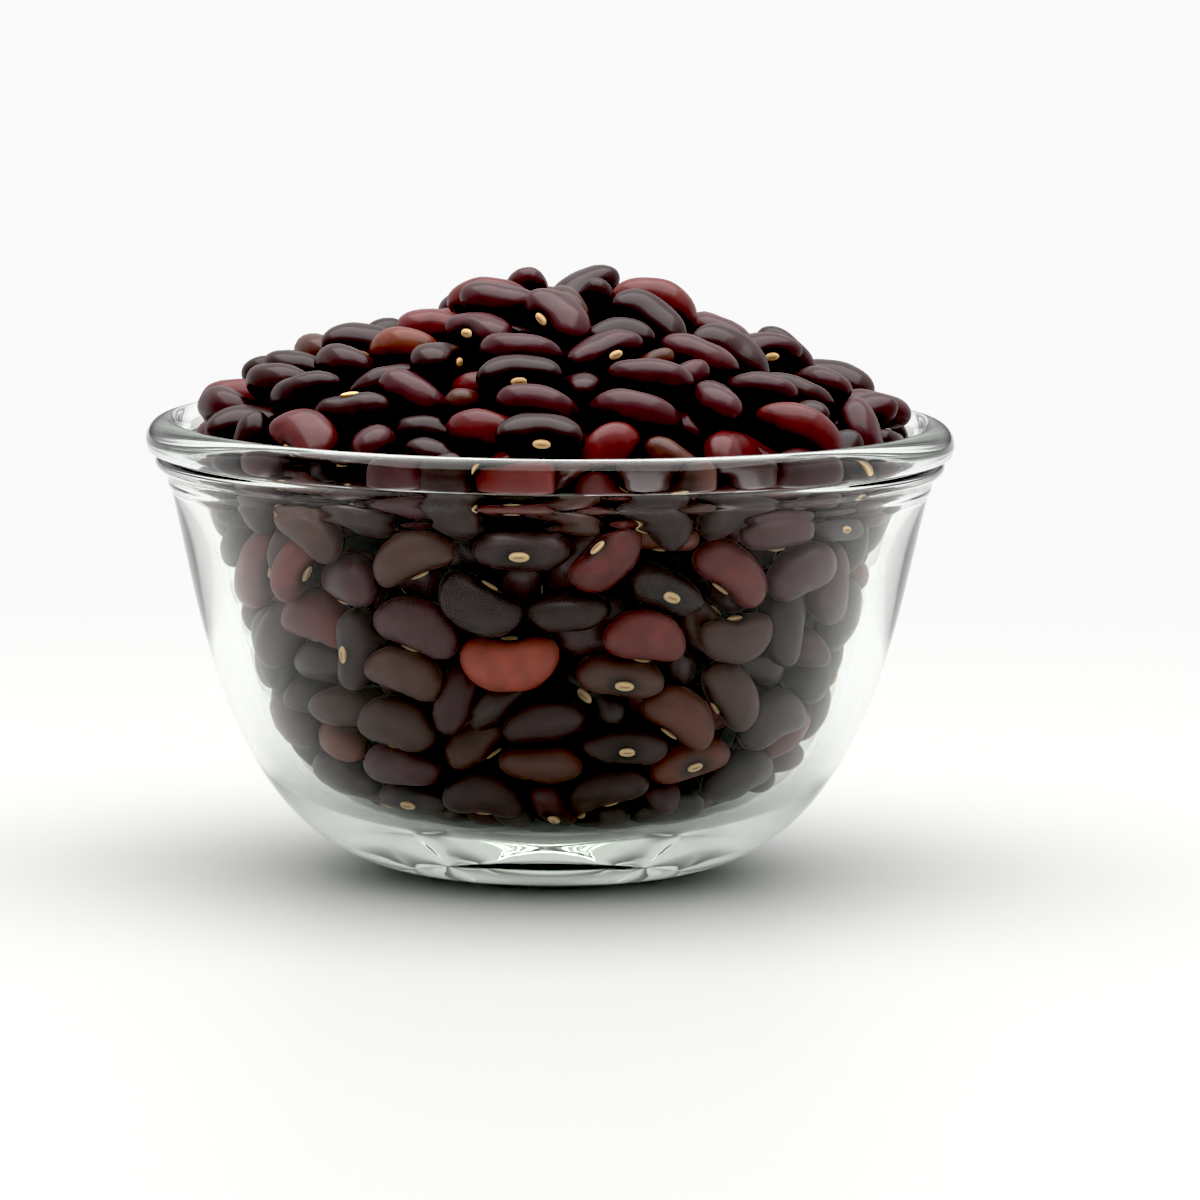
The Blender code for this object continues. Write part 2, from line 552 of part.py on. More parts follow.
def keep_largest_shell(mesh):
    form = bmesh.new()
    form.from_mesh(mesh)
    bmesh.ops.triangulate(form, faces=form.faces)
    unseen = set(form.faces)
    shells = []
    while unseen:
        shell, edge_of_shell = set(), [unseen.pop()]
        while edge_of_shell:
            face = edge_of_shell.pop()
            shell.add(face)
            for edge in face.edges:
                for other in edge.link_faces:
                    if other in unseen:
                        unseen.discard(other)
                        edge_of_shell.append(other)
        shells.append(shell)
    largest = max(shells, key=len)
    spare = [face for shell in shells if shell is not largest for face in shell]
    bmesh.ops.delete(form, geom=spare, context="FACES")
    form.to_mesh(mesh)
    form.free()


def share_of_surface(pile, line, draw):
    """How many of many spots just under the surface lie nearest to each bean."""
    spot = draw.uniform(-1, 1, (SURFACE_SPOTS, 3)) * INNER_TOP[0]
    spot[:, 2] = draw.uniform(FLOOR_HEIGHT, HEAP_TOP, SURFACE_SPOTS)
    depth = np.minimum(depth_in_glass(spot, line)[0], depth_in_heap(spot)[0])
    spot = spot[(depth > SURFACE_DEPTHS[0]) & (depth < SURFACE_DEPTHS[1])]
    nearest = np.linalg.norm(spot[:, None] - pile.centre[None], axis=2).argmin(axis=1)
    return np.bincount(nearest, minlength=len(pile.size))


def build_beans(look):
    line = wall_line()
    draw = np.random.RandomState(PILE_SEED)
    pile = place_beans(line, draw)
    settle(pile, line, draw)
    corners, faces = bean_surface(BEAN_RINGS, BEAN_SIDES)
    core = turned("beans", core_profile(), CORE_SIDES, look)
    share = share_of_surface(pile, line, draw)
    share[pile.ease[:, 0] == FIRM_EASE[0]] += SURFACE_SPOTS
    solids = []
    for index in np.argsort(-share, kind="stable")[:FUSED_BEANS]:
        places = (corners * BEAN_FULLNESS * pile.size[index]) @ pile.axes[index].T + pile.centre[index]
        places += way_clear_of_glass(places, line)
        mesh = bpy.data.meshes.new("bean")
        mesh.from_pydata([tuple(place) for place in places], [], faces)
        mesh.materials.append(look)
        bean = bpy.data.objects.new("bean", mesh)
        solids.append(bean)
    fuse(core, solids)
    return core


def build():
    clear_scene()
    glass = material("clear_glass", (0.86, 0.93, 0.90), 0.03, alpha=0.35)
    bean_skin = material("bean_skin", (0.09, 0.025, 0.025), 0.4)
    bowl = turned("glass_bowl", glass_profile(), BOWL_SIDES, glass)
    beans = build_beans(bean_skin)
    for made in (bowl, beans):
        made.data.shade_smooth()
        made.data.set_sharp_from_angle(angle=math.radians(40))


build()
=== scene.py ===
"""The looks of a clear glass bowl heaped with dried kidney beans, built over its fixed frame.

Metres, +Z up. The front of the bowl faces -Y.
"""
import math

import bpy
import numpy as np
from mathutils import Matrix, Vector


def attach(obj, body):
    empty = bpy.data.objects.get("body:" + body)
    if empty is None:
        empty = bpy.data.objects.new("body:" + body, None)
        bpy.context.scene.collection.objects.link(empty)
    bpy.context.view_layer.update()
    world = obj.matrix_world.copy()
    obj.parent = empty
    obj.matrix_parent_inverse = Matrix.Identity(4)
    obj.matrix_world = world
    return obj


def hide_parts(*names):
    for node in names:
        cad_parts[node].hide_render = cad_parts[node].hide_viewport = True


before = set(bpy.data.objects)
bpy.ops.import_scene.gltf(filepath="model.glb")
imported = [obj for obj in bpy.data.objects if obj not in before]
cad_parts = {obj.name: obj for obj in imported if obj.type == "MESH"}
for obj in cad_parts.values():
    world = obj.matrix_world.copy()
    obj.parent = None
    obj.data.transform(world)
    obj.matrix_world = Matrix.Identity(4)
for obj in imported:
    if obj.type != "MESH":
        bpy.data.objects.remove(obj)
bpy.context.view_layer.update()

MM = 0.001

# The glass, by radius from the axis and height above the table
FOOT_RADIUS = 24.8 * MM
WALL_TOP = (70.5 * MM, 71.6 * MM)
WALL_RISE_AT_FOOT = math.radians(4.5)
WALL_LEAN_AT_TOP = math.radians(15)
WALL_HANDLES = (35.8 * MM, 21.5 * MM)
STEP_HEIGHT = 70.9 * MM
STEP_DEPTH = 0.35 * MM
RIDGE_CENTRE = (71.2 * MM, 75.9 * MM)
RIDGE_RADII = (2.1 * MM, 1.75 * MM)
RIDGE_ARC = (-75, 58)
BEAD_CENTRE = (71.3 * MM, 79.8 * MM)
BEAD_RADII = (3.7 * MM, 3.9 * MM)
BEAD_ARC = (-36, 190)
FLOOR_RADIUS = 16 * MM
FLOOR_HEIGHT = 7.4 * MM
INNER_TOP = (67.6 * MM, 78.2 * MM)
INNER_RISE_AT_FLOOR = math.radians(3)
INNER_LEAN_AT_TOP = math.radians(15)
INNER_HANDLES = (34 * MM, 61 * MM)
INNER_POINTS = 9
TALLER_WALL = 3

# The heap, before single beans stand out of it
HEAP_TOP = 110.4 * MM
HEAP_DROP = 27 * MM
HEAP_RADIUS = 67 * MM
HEAP_POWER = 1.5
HEAP_LEVEL_FROM = 1.2
HOLLOW_AT = -30 * MM
HOLLOW_DEPTH = 3 * MM
HOLLOW_WIDTH = 9 * MM

# The step for measuring a slope, and the least length to divide by
SLOPE_STEP = 0.5 * MM
TINY = 1e-9

# One bean: its measures, its bend and how much of that sets it back, its dent, and how sizes differ
BEAN_LENGTH = 16.0 * MM
BEAN_WIDTH = 9.6 * MM
BEAN_THICKNESS = 7.4 * MM
BEAN_BEND = 1.3 * MM
BEAN_BACK = 0.3
BEAN_DENT = 0.14
BEAN_BLUNTNESS = 2.5
SIZE_SPREAD = 0.055
SIZE_LIMITS = (0.88, 1.14)
LYING_WOBBLE = 0.3

# Packing the beans: layers by depth and spacing, then how hard they are pushed apart and inward
GAP_TO_GLASS = 0.45 * MM
PILE_SEED = 11
LAYERS = ((4.3 * MM, 7.8 * MM), (10.8 * MM, 9.0 * MM), (16.5 * MM, 9.2 * MM))
LAYER_TRIES = 20000
LAYER_REACH = 2.5 * MM
DEEPEST = 17 * MM
STAND_OUT = 2.2 * MM
SETTLING_STEPS = 300
NEIGHBOURS_EVERY = 10
NEIGHBOUR_REACH = 1.15
BALL_BEND = 0.6
PUSH_APART = 0.44
PUSH_FROM_GLASS = 0.35
PUSH_INTO_HEAP = 0.12
PUSH_OUT_OF_DEEP = 0.3
PRESSING = 0.15 * MM
PRESSING_PART = 0.8
LEAST_TURN = 1e-7
MOST_TURN = 0.2
PLACE_DIGITS = 6
TURN_DIGITS = 5
CLEARING_ROUNDS = 3
GRIP = (BEAN_LENGTH / 3) ** 2

# How easily a bean shifts across, back and up while the pile settles
FIRM_EASE = (0.003, 0.3, 0.003)
HELD_EASE = (0.03, 0.5, 0.03)
LOOSE_EASE = (1.0, 1.0, 1.0)

# The front view that the beans below were placed from: almost square on, a little above level
VIEW_TILT = math.radians(7)
VIEW_DISTANCE = 1.5
VIEW_SIDE = 9.5 * MM
VIEW_HEIGHT = 49.9 * MM
GLASS_INDEX = 1.5
SHOWN_NEARER = 0.95
ROUND_WALL_SHARE = 0.85

# Following a line of sight to the glass and a bean behind it, or to a bean on the heap
SIGHT_STEP = 0.2 * MM
GLASS_SEARCH_FROM = 100 * MM
GLASS_SEARCH_POINTS = 40
GLASS_SEARCH_STEPS = 40
GLASS_SEARCH_DEPTH = 0.35
HEAP_SEARCH_FROM = 90 * MM
HEAP_SEARCH_TO = 60 * MM
HEAP_SEARCH_STEP = 0.5 * MM
HEAP_SEARCH_DEPTH = 0.3
HEAP_EDGE_GAP = 3 * MM

# Beans on the heap that show from the front: across and up in millimetres as seen, then in degrees
# the turn of the long axis, the roll about it (0 broad side, 90 eye to the front, -90 back to the
# front, 180 eye on top) and the yaw of its right end to the front, and the size against the usual
ON_THE_HEAP = [
    (-11.0, 106.7, -3, -60, 0, 1.05), (-9.5, 103.1, -3, -90, 0, 1.0), (1.3, 102.2, -30, 90, 50, 1.0),
    (5.8, 107.8, 25, 90, -50, 1.0), (-21.0, 99.6, 12, -90, 0, 1.0), (-13.2, 99.0, -3, 90, 50, 1.0),
    (-20.8, 93.3, 2, 90, -75, 1.0), (-28.1, 94.8, 5, -60, 45, 1.0), (-38.1, 91.1, -2, -60, 55, 1.0),
    (-34.8, 94.1, 0, 70, 10, 0.95), (-32.2, 97.3, 37, 90, -60, 0.9), (-50.8, 90.4, 0, -60, 0, 1.0),
    (-57.5, 87.2, 28, -60, 0, 1.05), (-47.1, 90.5, 0, -90, 30, 0.92), (-50.6, 87.9, 5, -80, 45, 1.0),
    (-46.5, 86.3, 25, -80, 45, 1.0), (-59.0, 84.4, 0, -60, 70, 1.0), (-57.3, 80.3, 0, 70, 0, 1.0),
    (-45.4, 79.2, -20, 60, 60, 1.02), (-32.4, 78.1, 10, 60, 70, 1.0), (-22.7, 79.4, 5, -60, 20, 1.0),
    (-11.0, 79.9, -10, -70, 0, 1.05), (-26.2, 87.4, -15, -70, 40, 1.0), (-29.2, 89.6, 15, -70, 0, 0.95),
    (-37.0, 82.9, 5, 180, 0, 1.0), (-12.8, 89.1, 0, -60, 30, 0.92), (-5.4, 93.9, -3, -80, 20, 1.0),
    (-4.5, 87.6, 0, 80, 0, 1.0), (-3.5, 84.4, -12, -70, 0, 1.0), (-2.6, 80.7, -10, 80, 0, 1.0),
    (18.8, 105.5, -18, -30, 0, 1.1), (18.4, 101.6, -32, 70, 20, 1.0), (9.5, 95.2, 14, 90, -35, 1.0),
    (27.7, 94.6, -22, -90, 0, 1.0), (30.9, 99.9, -10, -70, 45, 1.0), (37.4, 96.1, 0, 80, -30, 0.95),
    (44.5, 93.3, -42, -70, 0, 0.95), (52.6, 89.2, -12, 60, 0, 1.0), (50.8, 87.1, 0, -60, 60, 0.92),
    (17.9, 89.4, -6, -80, 0, 1.0), (15.6, 83.1, -14, -60, 0, 1.12), (24.4, 81.1, -10, -60, 50, 0.92),
    (29.6, 85.0, 0, -60, 80, 1.0), (38.3, 87.2, -10, -70, 40, 0.95), (48.0, 86.1, -12, -80, 0, 1.0),
    (46.7, 81.8, -25, -60, 0, 1.05), (56.4, 81.6, -35, -60, 40, 1.0), (56.9, 84.4, 0, 70, -30, 0.95),
    (62.5, 83.5, -8, -60, 30, 0.95), (61.2, 85.9, -10, -90, 0, 0.95), (4.8, 86.3, 0, 80, 60, 1.0),
]

# The same for beans that lie against the glass, as seen through it
BEHIND_THE_GLASS = [
    (-20.3, 74.8, 0, -30, 0, 1.0), (-6.5, 71.5, 0, 20, 30, 1.05), (10.8, 76.7, 60, 0, 0, 1.0),
    (35.5, 75.7, -3, 40, -30, 1.0), (3.9, 74.7, 0, -60, 0, 0.95), (-56.9, 63.1, 3, 70, -45, 1.0),
    (-44.5, 60.0, -25, 0, 0, 1.0), (-56.0, 54.7, 80, 0, 0, 1.0), (-48.5, 53.9, 60, 0, 0, 0.9),
    (-37.0, 50.4, -18, 0, 30, 1.0), (-25.9, 56.1, 20, 0, 0, 1.05), (-44.3, 44.1, -12, 0, 0, 1.05),
    (-25.7, 43.1, -20, 0, 0, 1.12), (-14.0, 47.8, -30, 180, 0, 1.05), (-4.5, 58.0, -2, 75, 0, 1.15),
    (-8.0, 37.3, 5, 180, 0, 1.18), (-40.7, 35.0, -3, -45, 0, 1.0), (-26.8, 34.9, -10, 0, 0, 1.0),
    (-43.2, 27.8, 0, 70, -45, 1.0), (-28.5, 24.8, -8, 0, 0, 1.0), (-12.8, 23.0, 35, 0, 0, 1.0),
    (-37.9, 21.0, 5, -60, 35, 1.0), (-27.3, 17.3, -5, -60, 0, 1.0), (-12.1, 12.8, 3, 0, 0, 1.0),
    (-24.9, 10.8, -5, 70, 0, 1.0), (-38.9, 14.1, -25, -60, 0, 1.0), (-53.4, 39.1, -65, 0, 0, 1.05),
    (-55.6, 48.0, -5, -45, 0, 1.0), (-36.1, 65.0, 0, -60, 0, 1.0), (-49.1, 26.1, -20, -30, 0, 1.0),
    (-10.0, 28.5, 5, -60, 0, 0.95), (10.8, 56.7, 42, 150, 0, 1.02), (21.6, 59.2, 0, 0, 0, 0.9),
    (34.6, 53.9, -35, 0, 0, 1.05), (21.6, 50.8, -22, 70, -20, 1.1), (18.2, 41.6, -8, 0, 0, 1.02),
    (35.2, 42.0, 3, 180, 0, 1.0), (4.8, 45.9, 15, -90, 0, 1.0), (43.9, 63.1, 0, 0, 0, 1.08),
    (53.2, 64.6, 0, 80, 0, 1.0), (57.8, 61.1, 65, -60, 0, 1.0), (54.1, 52.4, 80, 0, 0, 1.0),
    (56.4, 45.5, 50, -30, 0, 1.0), (46.7, 43.7, 60, 0, 0, 1.05), (53.4, 36.0, 20, 70, 0, 1.0),
    (41.1, 35.4, -5, -30, 0, 1.0), (16.4, 33.9, -40, 90, 0, 1.05), (34.2, 30.8, -65, 0, 0, 0.98),
    (25.3, 26.7, -30, 0, 0, 1.0), (8.6, 29.8, -35, 80, 35, 1.0), (14.1, 21.7, 0, 75, 0, 1.05),
    (26.6, 18.8, 12, 70, 0, 1.05), (42.0, 26.1, 30, 0, 0, 1.0), (44.8, 22.8, 25, -60, 0, 0.95),
    (36.5, 16.9, 15, -45, 0, 1.0), (9.5, 13.2, 0, 0, 0, 1.0), (24.4, 12.3, 5, -30, 0, 1.0),
    (2.0, 18.8, -8, -60, 0, 1.0), (1.1, 25.6, 10, -60, 0, 1.0), (35.5, 11.3, 0, -60, 0, 1.0),
]

# The most striking of them, by their place in each list, which the rest give way to
FIRM_ON_THE_HEAP = (0, 2, 3, 5, 6, 10, 17, 18, 21, 30, 31, 32, 33, 34, 40, 45)
FIRM_BEHIND_THE_GLASS = (1, 2, 3, 5, 7, 10, 11, 13, 14, 15, 24, 31, 33, 34, 35, 48, 50, 51)

# The camera: its turn about the line of sight, the width that it sees at the bowl, and its lens
VIEW_ROLL = math.radians(0.55)
FRAME_WIDTH = 223.3 * MM
SENSOR_WIDTH = 36.0
SEEN_UP_TO = 60.0

# The same section of the glass, drawn finely
FINE_WALL = 44
FINE_RIDGE = 12
FINE_BEAD = 30
FINE_INSIDE = 44
FINE_SIDES = 224
FOOT_EDGE = 0.8 * MM
STEP_INSET = 0.2 * MM
STEP_RISE = 0.35 * MM
LEDGE_RISE = 1.2 * MM
WALL_IN_RIM = 4
SHARP_FROM = math.radians(50)

# Rounding the rim's corners: points along it, how far each is averaged, and how fast that fades
RIM_STEP = 0.3 * MM
EDGE_SOFTNESS = 1.1 * MM
SOFT_SAMPLES = 9
SOFT_FADE = 0.9

# Clear glass: its colour, mirror tint, shadow, and the green that deepens with thickness
GLASS_COLOUR = (0.985, 1.0, 0.995, 1)
GLASS_MIRROR = (0.6, 0.6, 0.6, 1)
GLASS_SHADOW = (0.90, 0.94, 0.92, 1)
GLASS_DEPTH_COLOUR = (0.75, 0.79, 0.735, 1)
GLASS_DENSITY = 12.0

# The studio's brightness by how far back a direction points: place on the ramp and grey
WORLD_FRONT = (0.15, 0.60)
WORLD_SIDE = (0.5, 0.82)
WORLD_BACK = (0.75, 0.92)

# A darker patch low behind the bowl: its brightness, how high it reaches and how wide it is
WORLD_DIM = 0.3
WORLD_DIM_UP_TO = 0.22
WORLD_DIM_BEHIND = (0.80, 0.97)

# The soft lamp over the bowl
SOFTBOX_PLACE = (0.0, 0.0, 1.4)
SOFTBOX_AIM = (0, 0, 0.06)
SOFTBOX_SIZE = (2.1, 1.8)
SOFTBOX_POWER = 34.0

# The table, and how far behind the bowl it has turned into the white background
FLOOR_REACH = 12.0
FLOOR_GAP = 0.2 * MM
FLOOR_COLOUR = (0.56, 0.56, 0.55)
FLOOR_ROUGHNESS = 0.5
BACKGROUND = (0.955, 0.955, 0.955)
TABLE_END = (0.16, 0.50)

# Tones, and how often light may pass through or bounce in the glass
BLACK_LEVEL = 0.055
ALL_BOUNCES = 32
GLASS_BOUNCES = 24

# How finely a bean is drawn, and which beans show
LOOK_SEED = 5
FINE_RINGS = 19
FINE_ROUND = 20
SHOWN_DEPTH = 15.5 * MM

# How beans differ from the usual one: least and most of each measure
LENGTHS = (0.97, 1.02)
WIDTHS = (0.94, 1.03)
THICKNESSES = (0.95, 1.01)
BENDS = (0.6, 1.35)
DENTS = (0.5, 1.4)
BLUNTNESSES = (0.92, 1.15)
TAPER = 0.07
SKEW = 0.06
SQUARENESS = 0.88

# Faint dimples: their depth, the waves along and round the bean with their strength, and how many
# random numbers are drawn for them
DIMPLE = 0.09 * MM
DIMPLE_WAVES = ((3, 1, 1.0), (5, -2, 1.0), (8, 3, 0.6))
WAVE_DRAWS = 4

# The pale eye: its radii, how finely it is drawn and how its size differs
EYE_RADII = (1.75 * MM, 0.42 * MM, 0.92 * MM)
EYE_RINGS = 8
EYE_SIDES = 14
EYE_SIZES = (0.85, 1.12)
EYE_ROUGHNESS = 0.62

# The eye's colours from its middle line to its edge
EYE_COLOURS = (
    (0.0, (0.33, 0.15, 0.055, 1)),
    (0.28, (0.80, 0.55, 0.30, 1)),
    (0.72, (0.86, 0.64, 0.38, 1)),
    (0.93, (0.45, 0.22, 0.09, 1)),
)

# The dark skin round the eye: where it begins and ends, how dark, and its form against a circle
HALO_REACH = (1.4 * MM, 3.4 * MM)
HALO_DARKNESS = (0.12, 1.0)
HALO_FORM = (0.75, 1.0, 1.3)

# The dark middle of the heap: a near-black body as painted shade deep among the beans
DARK_CORE_DEPTH = 12 * MM
CORE_PAINTED_SHADE = (0.008, 0.003, 0.003)
DARK_CORE_ROUGHNESS = 0.9
DARK_CORE_SIDES = 64
DARK_CORE_WALL = 12
DARK_CORE_TOP = 10
DARK_CORE_REACH = 0.8

# Bean skin: its gloss, and the coat over it
SKIN_INDEX = 1.47
SKIN_MIRROR = 0.3
SKIN_ROUGHNESS = (0.42, 0.56)
COAT = 0.42
COAT_ROUGHNESS = 0.15

# Fine mottling and large patches on the skin: how small they are, then shades and depth
MOTTLE_SCALE = 330.0
PATCH_SCALE = 110.0
NOISE_DETAIL = 2.0
DARKEST = 0.55
PALEST = 1.5
BEAN_SHARE = 0.55
PATCH_SHARE = 0.5
SPECK_ENDS = (0.3, 0.7)
SPECK_DARK = (0.80, 0.80, 0.82, 1)
SPECK_PALE = (1.15, 1.10, 1.08, 1)
BUMP_STRENGTH = 0.05
BUMP_HEIGHT = 0.1 * MM

# Skin colours: name, base colour, and the share of the beans not placed from the lists that have it
SKINS = {
    # The dark skin also serves as painted shade, for listed beans that lay in shade
    "dark": ((0.036, 0.017, 0.017), 0.32),
    "mauve": ((0.066, 0.025, 0.028), 0.38),
    "brown": ((0.086, 0.038, 0.030), 0.12),
    "red": ((0.135, 0.034, 0.034), 0.11),
    "rust": ((0.165, 0.050, 0.032), 0.07),
    "wine": ((0.160, 0.034, 0.032), 0.0),
    "orange": ((0.350, 0.068, 0.040), 0.0),
}

# The skins of the listed beans, in the order of their places
# Partly each bean's own tone and partly painted shade: beans that lay in shade have the dark skin
HEAP_SKINS_AND_SHADE = """
red mauve mauve dark red mauve dark rust mauve dark dark dark red dark dark dark mauve dark red mauve
dark red mauve dark dark red mauve dark mauve dark red dark mauve mauve mauve mauve dark dark mauve
mauve mauve mauve mauve mauve dark red mauve mauve dark mauve mauve
""".split()
# The same for the beans behind the glass: the dark skin partly paints shade
GLASS_SKINS_AND_SHADE = """
dark wine red red dark dark brown wine wine mauve brown wine mauve dark dark orange dark brown dark
brown brown rust mauve dark dark dark dark brown dark brown dark wine rust wine dark wine brown dark
mauve dark dark mauve dark dark dark dark brown brown rust dark dark rust dark wine dark dark dark
brown dark dark
""".split()


def cubic(start, start_handle, end_handle, end, count):
    """Points along a cubic curve, with both ends."""
    t = np.linspace(0, 1, count)[:, None]
    corners = [np.array(corner) for corner in (start, start_handle, end_handle, end)]
    weights = ((1 - t) ** 3, 3 * t * (1 - t) ** 2, 3 * t ** 2 * (1 - t), t ** 3)
    return sum(weight * corner for weight, corner in zip(weights, corners))


def arc(centre, radii, degrees, count):
    """Points along part of an ellipse, from the first angle to the second."""
    angles = np.radians(np.linspace(*degrees, count))
    return np.column_stack([centre[0] + radii[0] * np.cos(angles), centre[1] + radii[1] * np.sin(angles)])


def outer_wall(count):
    """The outside of the glass from the foot up to the step under the rim."""
    rise = (math.cos(WALL_RISE_AT_FOOT), math.sin(WALL_RISE_AT_FOOT))
    lean = (math.sin(WALL_LEAN_AT_TOP), math.cos(WALL_LEAN_AT_TOP))
    start = (FOOT_RADIUS, 0.0)
    start_handle = (FOOT_RADIUS + WALL_HANDLES[0] * rise[0], WALL_HANDLES[0] * rise[1])
    end_handle = (WALL_TOP[0] - WALL_HANDLES[1] * lean[0], WALL_TOP[1] - WALL_HANDLES[1] * lean[1])
    return cubic(start, start_handle, end_handle, WALL_TOP, count)


def inner_wall(count):
    """The inside of the glass from the edge of its flat floor up to the rim."""
    rise = (math.cos(INNER_RISE_AT_FLOOR), math.sin(INNER_RISE_AT_FLOOR))
    lean = (math.sin(INNER_LEAN_AT_TOP), math.cos(INNER_LEAN_AT_TOP))
    start = (FLOOR_RADIUS, FLOOR_HEIGHT)
    start_handle = (FLOOR_RADIUS + INNER_HANDLES[0] * rise[0], FLOOR_HEIGHT + INNER_HANDLES[0] * rise[1])
    end_handle = (INNER_TOP[0] - INNER_HANDLES[1] * lean[0], INNER_TOP[1] - INNER_HANDLES[1] * lean[1])
    return cubic(start, start_handle, end_handle, INNER_TOP, count)


def heap_height(x, y):
    """Height of the heap's mean surface."""
    out = np.minimum(np.hypot(x, y) / HEAP_RADIUS, HEAP_LEVEL_FROM)
    hollow = HOLLOW_DEPTH * np.exp(-((x - HOLLOW_AT) / HOLLOW_WIDTH) ** 2)
    return HEAP_TOP - HEAP_DROP * out ** HEAP_POWER - hollow


def wall_line():
    """The inside of the glass as a line of points, drawn on straight up above the rim."""
    above = [(INNER_TOP[0], TALLER_WALL * INNER_TOP[1])]
    return np.vstack([[(0.0, FLOOR_HEIGHT)], inner_wall(INNER_POINTS), above])


def depth_in_glass(points, line):
    """How far each point lies inside the glass, and the way in from the glass."""
    radius = np.hypot(points[:, 0], points[:, 1])
    flat = np.column_stack([radius, points[:, 2]])
    along = line[1:] - line[:-1]
    length = np.sqrt((along ** 2).sum(axis=1))
    way = along / length[:, None]
    offset = flat[:, None, :] - line[None, :-1, :]
    reach = np.clip((offset * way).sum(axis=2), 0, length)
    gap = offset - reach[:, :, None] * way
    inward = np.column_stack([-way[:, 1], way[:, 0]])
    away = np.sqrt((gap ** 2).sum(axis=2))
    nearest = away.argmin(axis=1)
    row = np.arange(len(points))
    depth = (gap[row, nearest] * inward[nearest]).sum(axis=1)
    normal = inward[nearest]
    safe = np.maximum(radius, TINY)
    way_in = np.column_stack([normal[:, 0] * points[:, 0] / safe, normal[:, 0] * points[:, 1] / safe,
                              normal[:, 1]])
    return depth, way_in


def depth_in_heap(points, lift=0.0):
    """How far each point lies under the heap's surface, and the way in from that surface."""
    x, y = points[:, 0], points[:, 1]
    slope_x = (heap_height(x + SLOPE_STEP, y) - heap_height(x - SLOPE_STEP, y)) / (2 * SLOPE_STEP)
    slope_y = (heap_height(x, y + SLOPE_STEP) - heap_height(x, y - SLOPE_STEP)) / (2 * SLOPE_STEP)
    way_in = np.column_stack([slope_x, slope_y, -np.ones(len(points))])
    steepness = np.sqrt((way_in ** 2).sum(axis=1))
    depth = (heap_height(x, y) + lift - points[:, 2]) / steepness
    return depth, way_in / steepness[:, None]


def turn_matrix(axis, angle):
    """A turn by an angle about a unit axis."""
    x, y, z = axis
    cross = np.array([[0, -z, y], [z, 0, -x], [-y, x, 0]])
    return np.eye(3) + math.sin(angle) * cross + (1 - math.cos(angle)) * cross @ cross


def seen_turn(turn, roll, yaw, round_wall=0.0):
    """A bean's axes from how it looks: long axis right, back up and broad side to the front at zero."""
    facing = np.array([[1.0, 0, 0], [0, 0, -1.0], [0, 1.0, 0]])
    rolled = facing @ turn_matrix((1, 0, 0), math.radians(-roll))
    turned_up = turn_matrix((0, -1, 0), math.radians(turn)) @ rolled
    yawed = turn_matrix((0, 0, 1), math.radians(-yaw)) @ turned_up
    return turn_matrix((0, 0, 1), round_wall) @ yawed


def view_ray(across, up):
    """Where a line of sight starts, and its direction, for a place in the front view."""
    away = np.array([0, math.cos(VIEW_TILT), -math.sin(VIEW_TILT)])
    eye = np.array([VIEW_SIDE, 0, VIEW_HEIGHT]) - VIEW_DISTANCE * away
    aim = np.array([across, up * math.sin(VIEW_TILT), up * math.cos(VIEW_TILT)])
    return eye, (aim - eye) / np.linalg.norm(aim - eye)


def place_on_heap(across, up):
    """The centre of a bean on the heap's surface that shows at a place in the front view."""
    eye, sight = view_ray(across, up)
    reach = VIEW_DISTANCE - HEAP_SEARCH_FROM
    while reach < VIEW_DISTANCE + HEAP_SEARCH_TO:
        point = eye + reach * sight
        under = depth_in_heap(point[None])[0][0]
        within = math.hypot(point[0], point[1]) < INNER_TOP[0] - HEAP_EDGE_GAP
        if under > HEAP_SEARCH_DEPTH * BEAN_THICKNESS and within:
            return point
        reach += HEAP_SEARCH_STEP
    crest = eye + (VIEW_DISTANCE / math.cos(VIEW_TILT)) * sight
    return np.array([crest[0], 0.0, min(crest[2], heap_height(crest[0], 0.0))])


def march(point, way, wall):
    """Follows a line of sight to a turned wall, or to where it passes nearest to the axis."""
    while math.hypot(point[0], point[1]) > np.interp(point[2], wall[:, 1], wall[:, 0]):
        if point[:2] @ way[:2] > 0:
            break
        point = point + SIGHT_STEP * way
    return point


def bend(point, way, wall, ratio):
    """The direction of a line of sight past a turned wall of glass."""
    radii = np.interp((point[2] - SLOPE_STEP, point[2] + SLOPE_STEP), wall[:, 1], wall[:, 0])
    fall = -math.hypot(point[0], point[1]) * (radii[1] - radii[0]) / (2 * SLOPE_STEP)
    normal = np.array([point[0], point[1], fall])
    normal /= np.linalg.norm(normal)
    facing = -way @ normal
    straight = 1 - ratio ** 2 * (1 - facing ** 2)
    if straight <= 0 or facing <= 0:
        return way
    return ratio * way + (ratio * facing - math.sqrt(straight)) * normal


def place_behind_glass(across, up, line):
    """The centre of a bean that touches the glass, and its angle round the bowl, from how it shows."""
    eye, way = view_ray(across, up)
    point = eye + (VIEW_DISTANCE - GLASS_SEARCH_FROM) * way
    for wall, ratio in ((outer_wall(GLASS_SEARCH_POINTS), 1 / GLASS_INDEX), (line[1:], GLASS_INDEX)):
        point = march(point, way, wall)
        way = bend(point, way, wall, ratio)
    for step in range(GLASS_SEARCH_STEPS):
        depth, way_in = depth_in_glass(point[None], line)
        if depth[0] > GLASS_SEARCH_DEPTH * BEAN_THICKNESS or point[:2] @ way[:2] > 0:
            break
        point = point + SIGHT_STEP * way
    angle = math.atan2(point[0], -point[1])
    return point + way_in[0] * (0.5 * BEAN_THICKNESS + GAP_TO_GLASS - depth[0]), angle


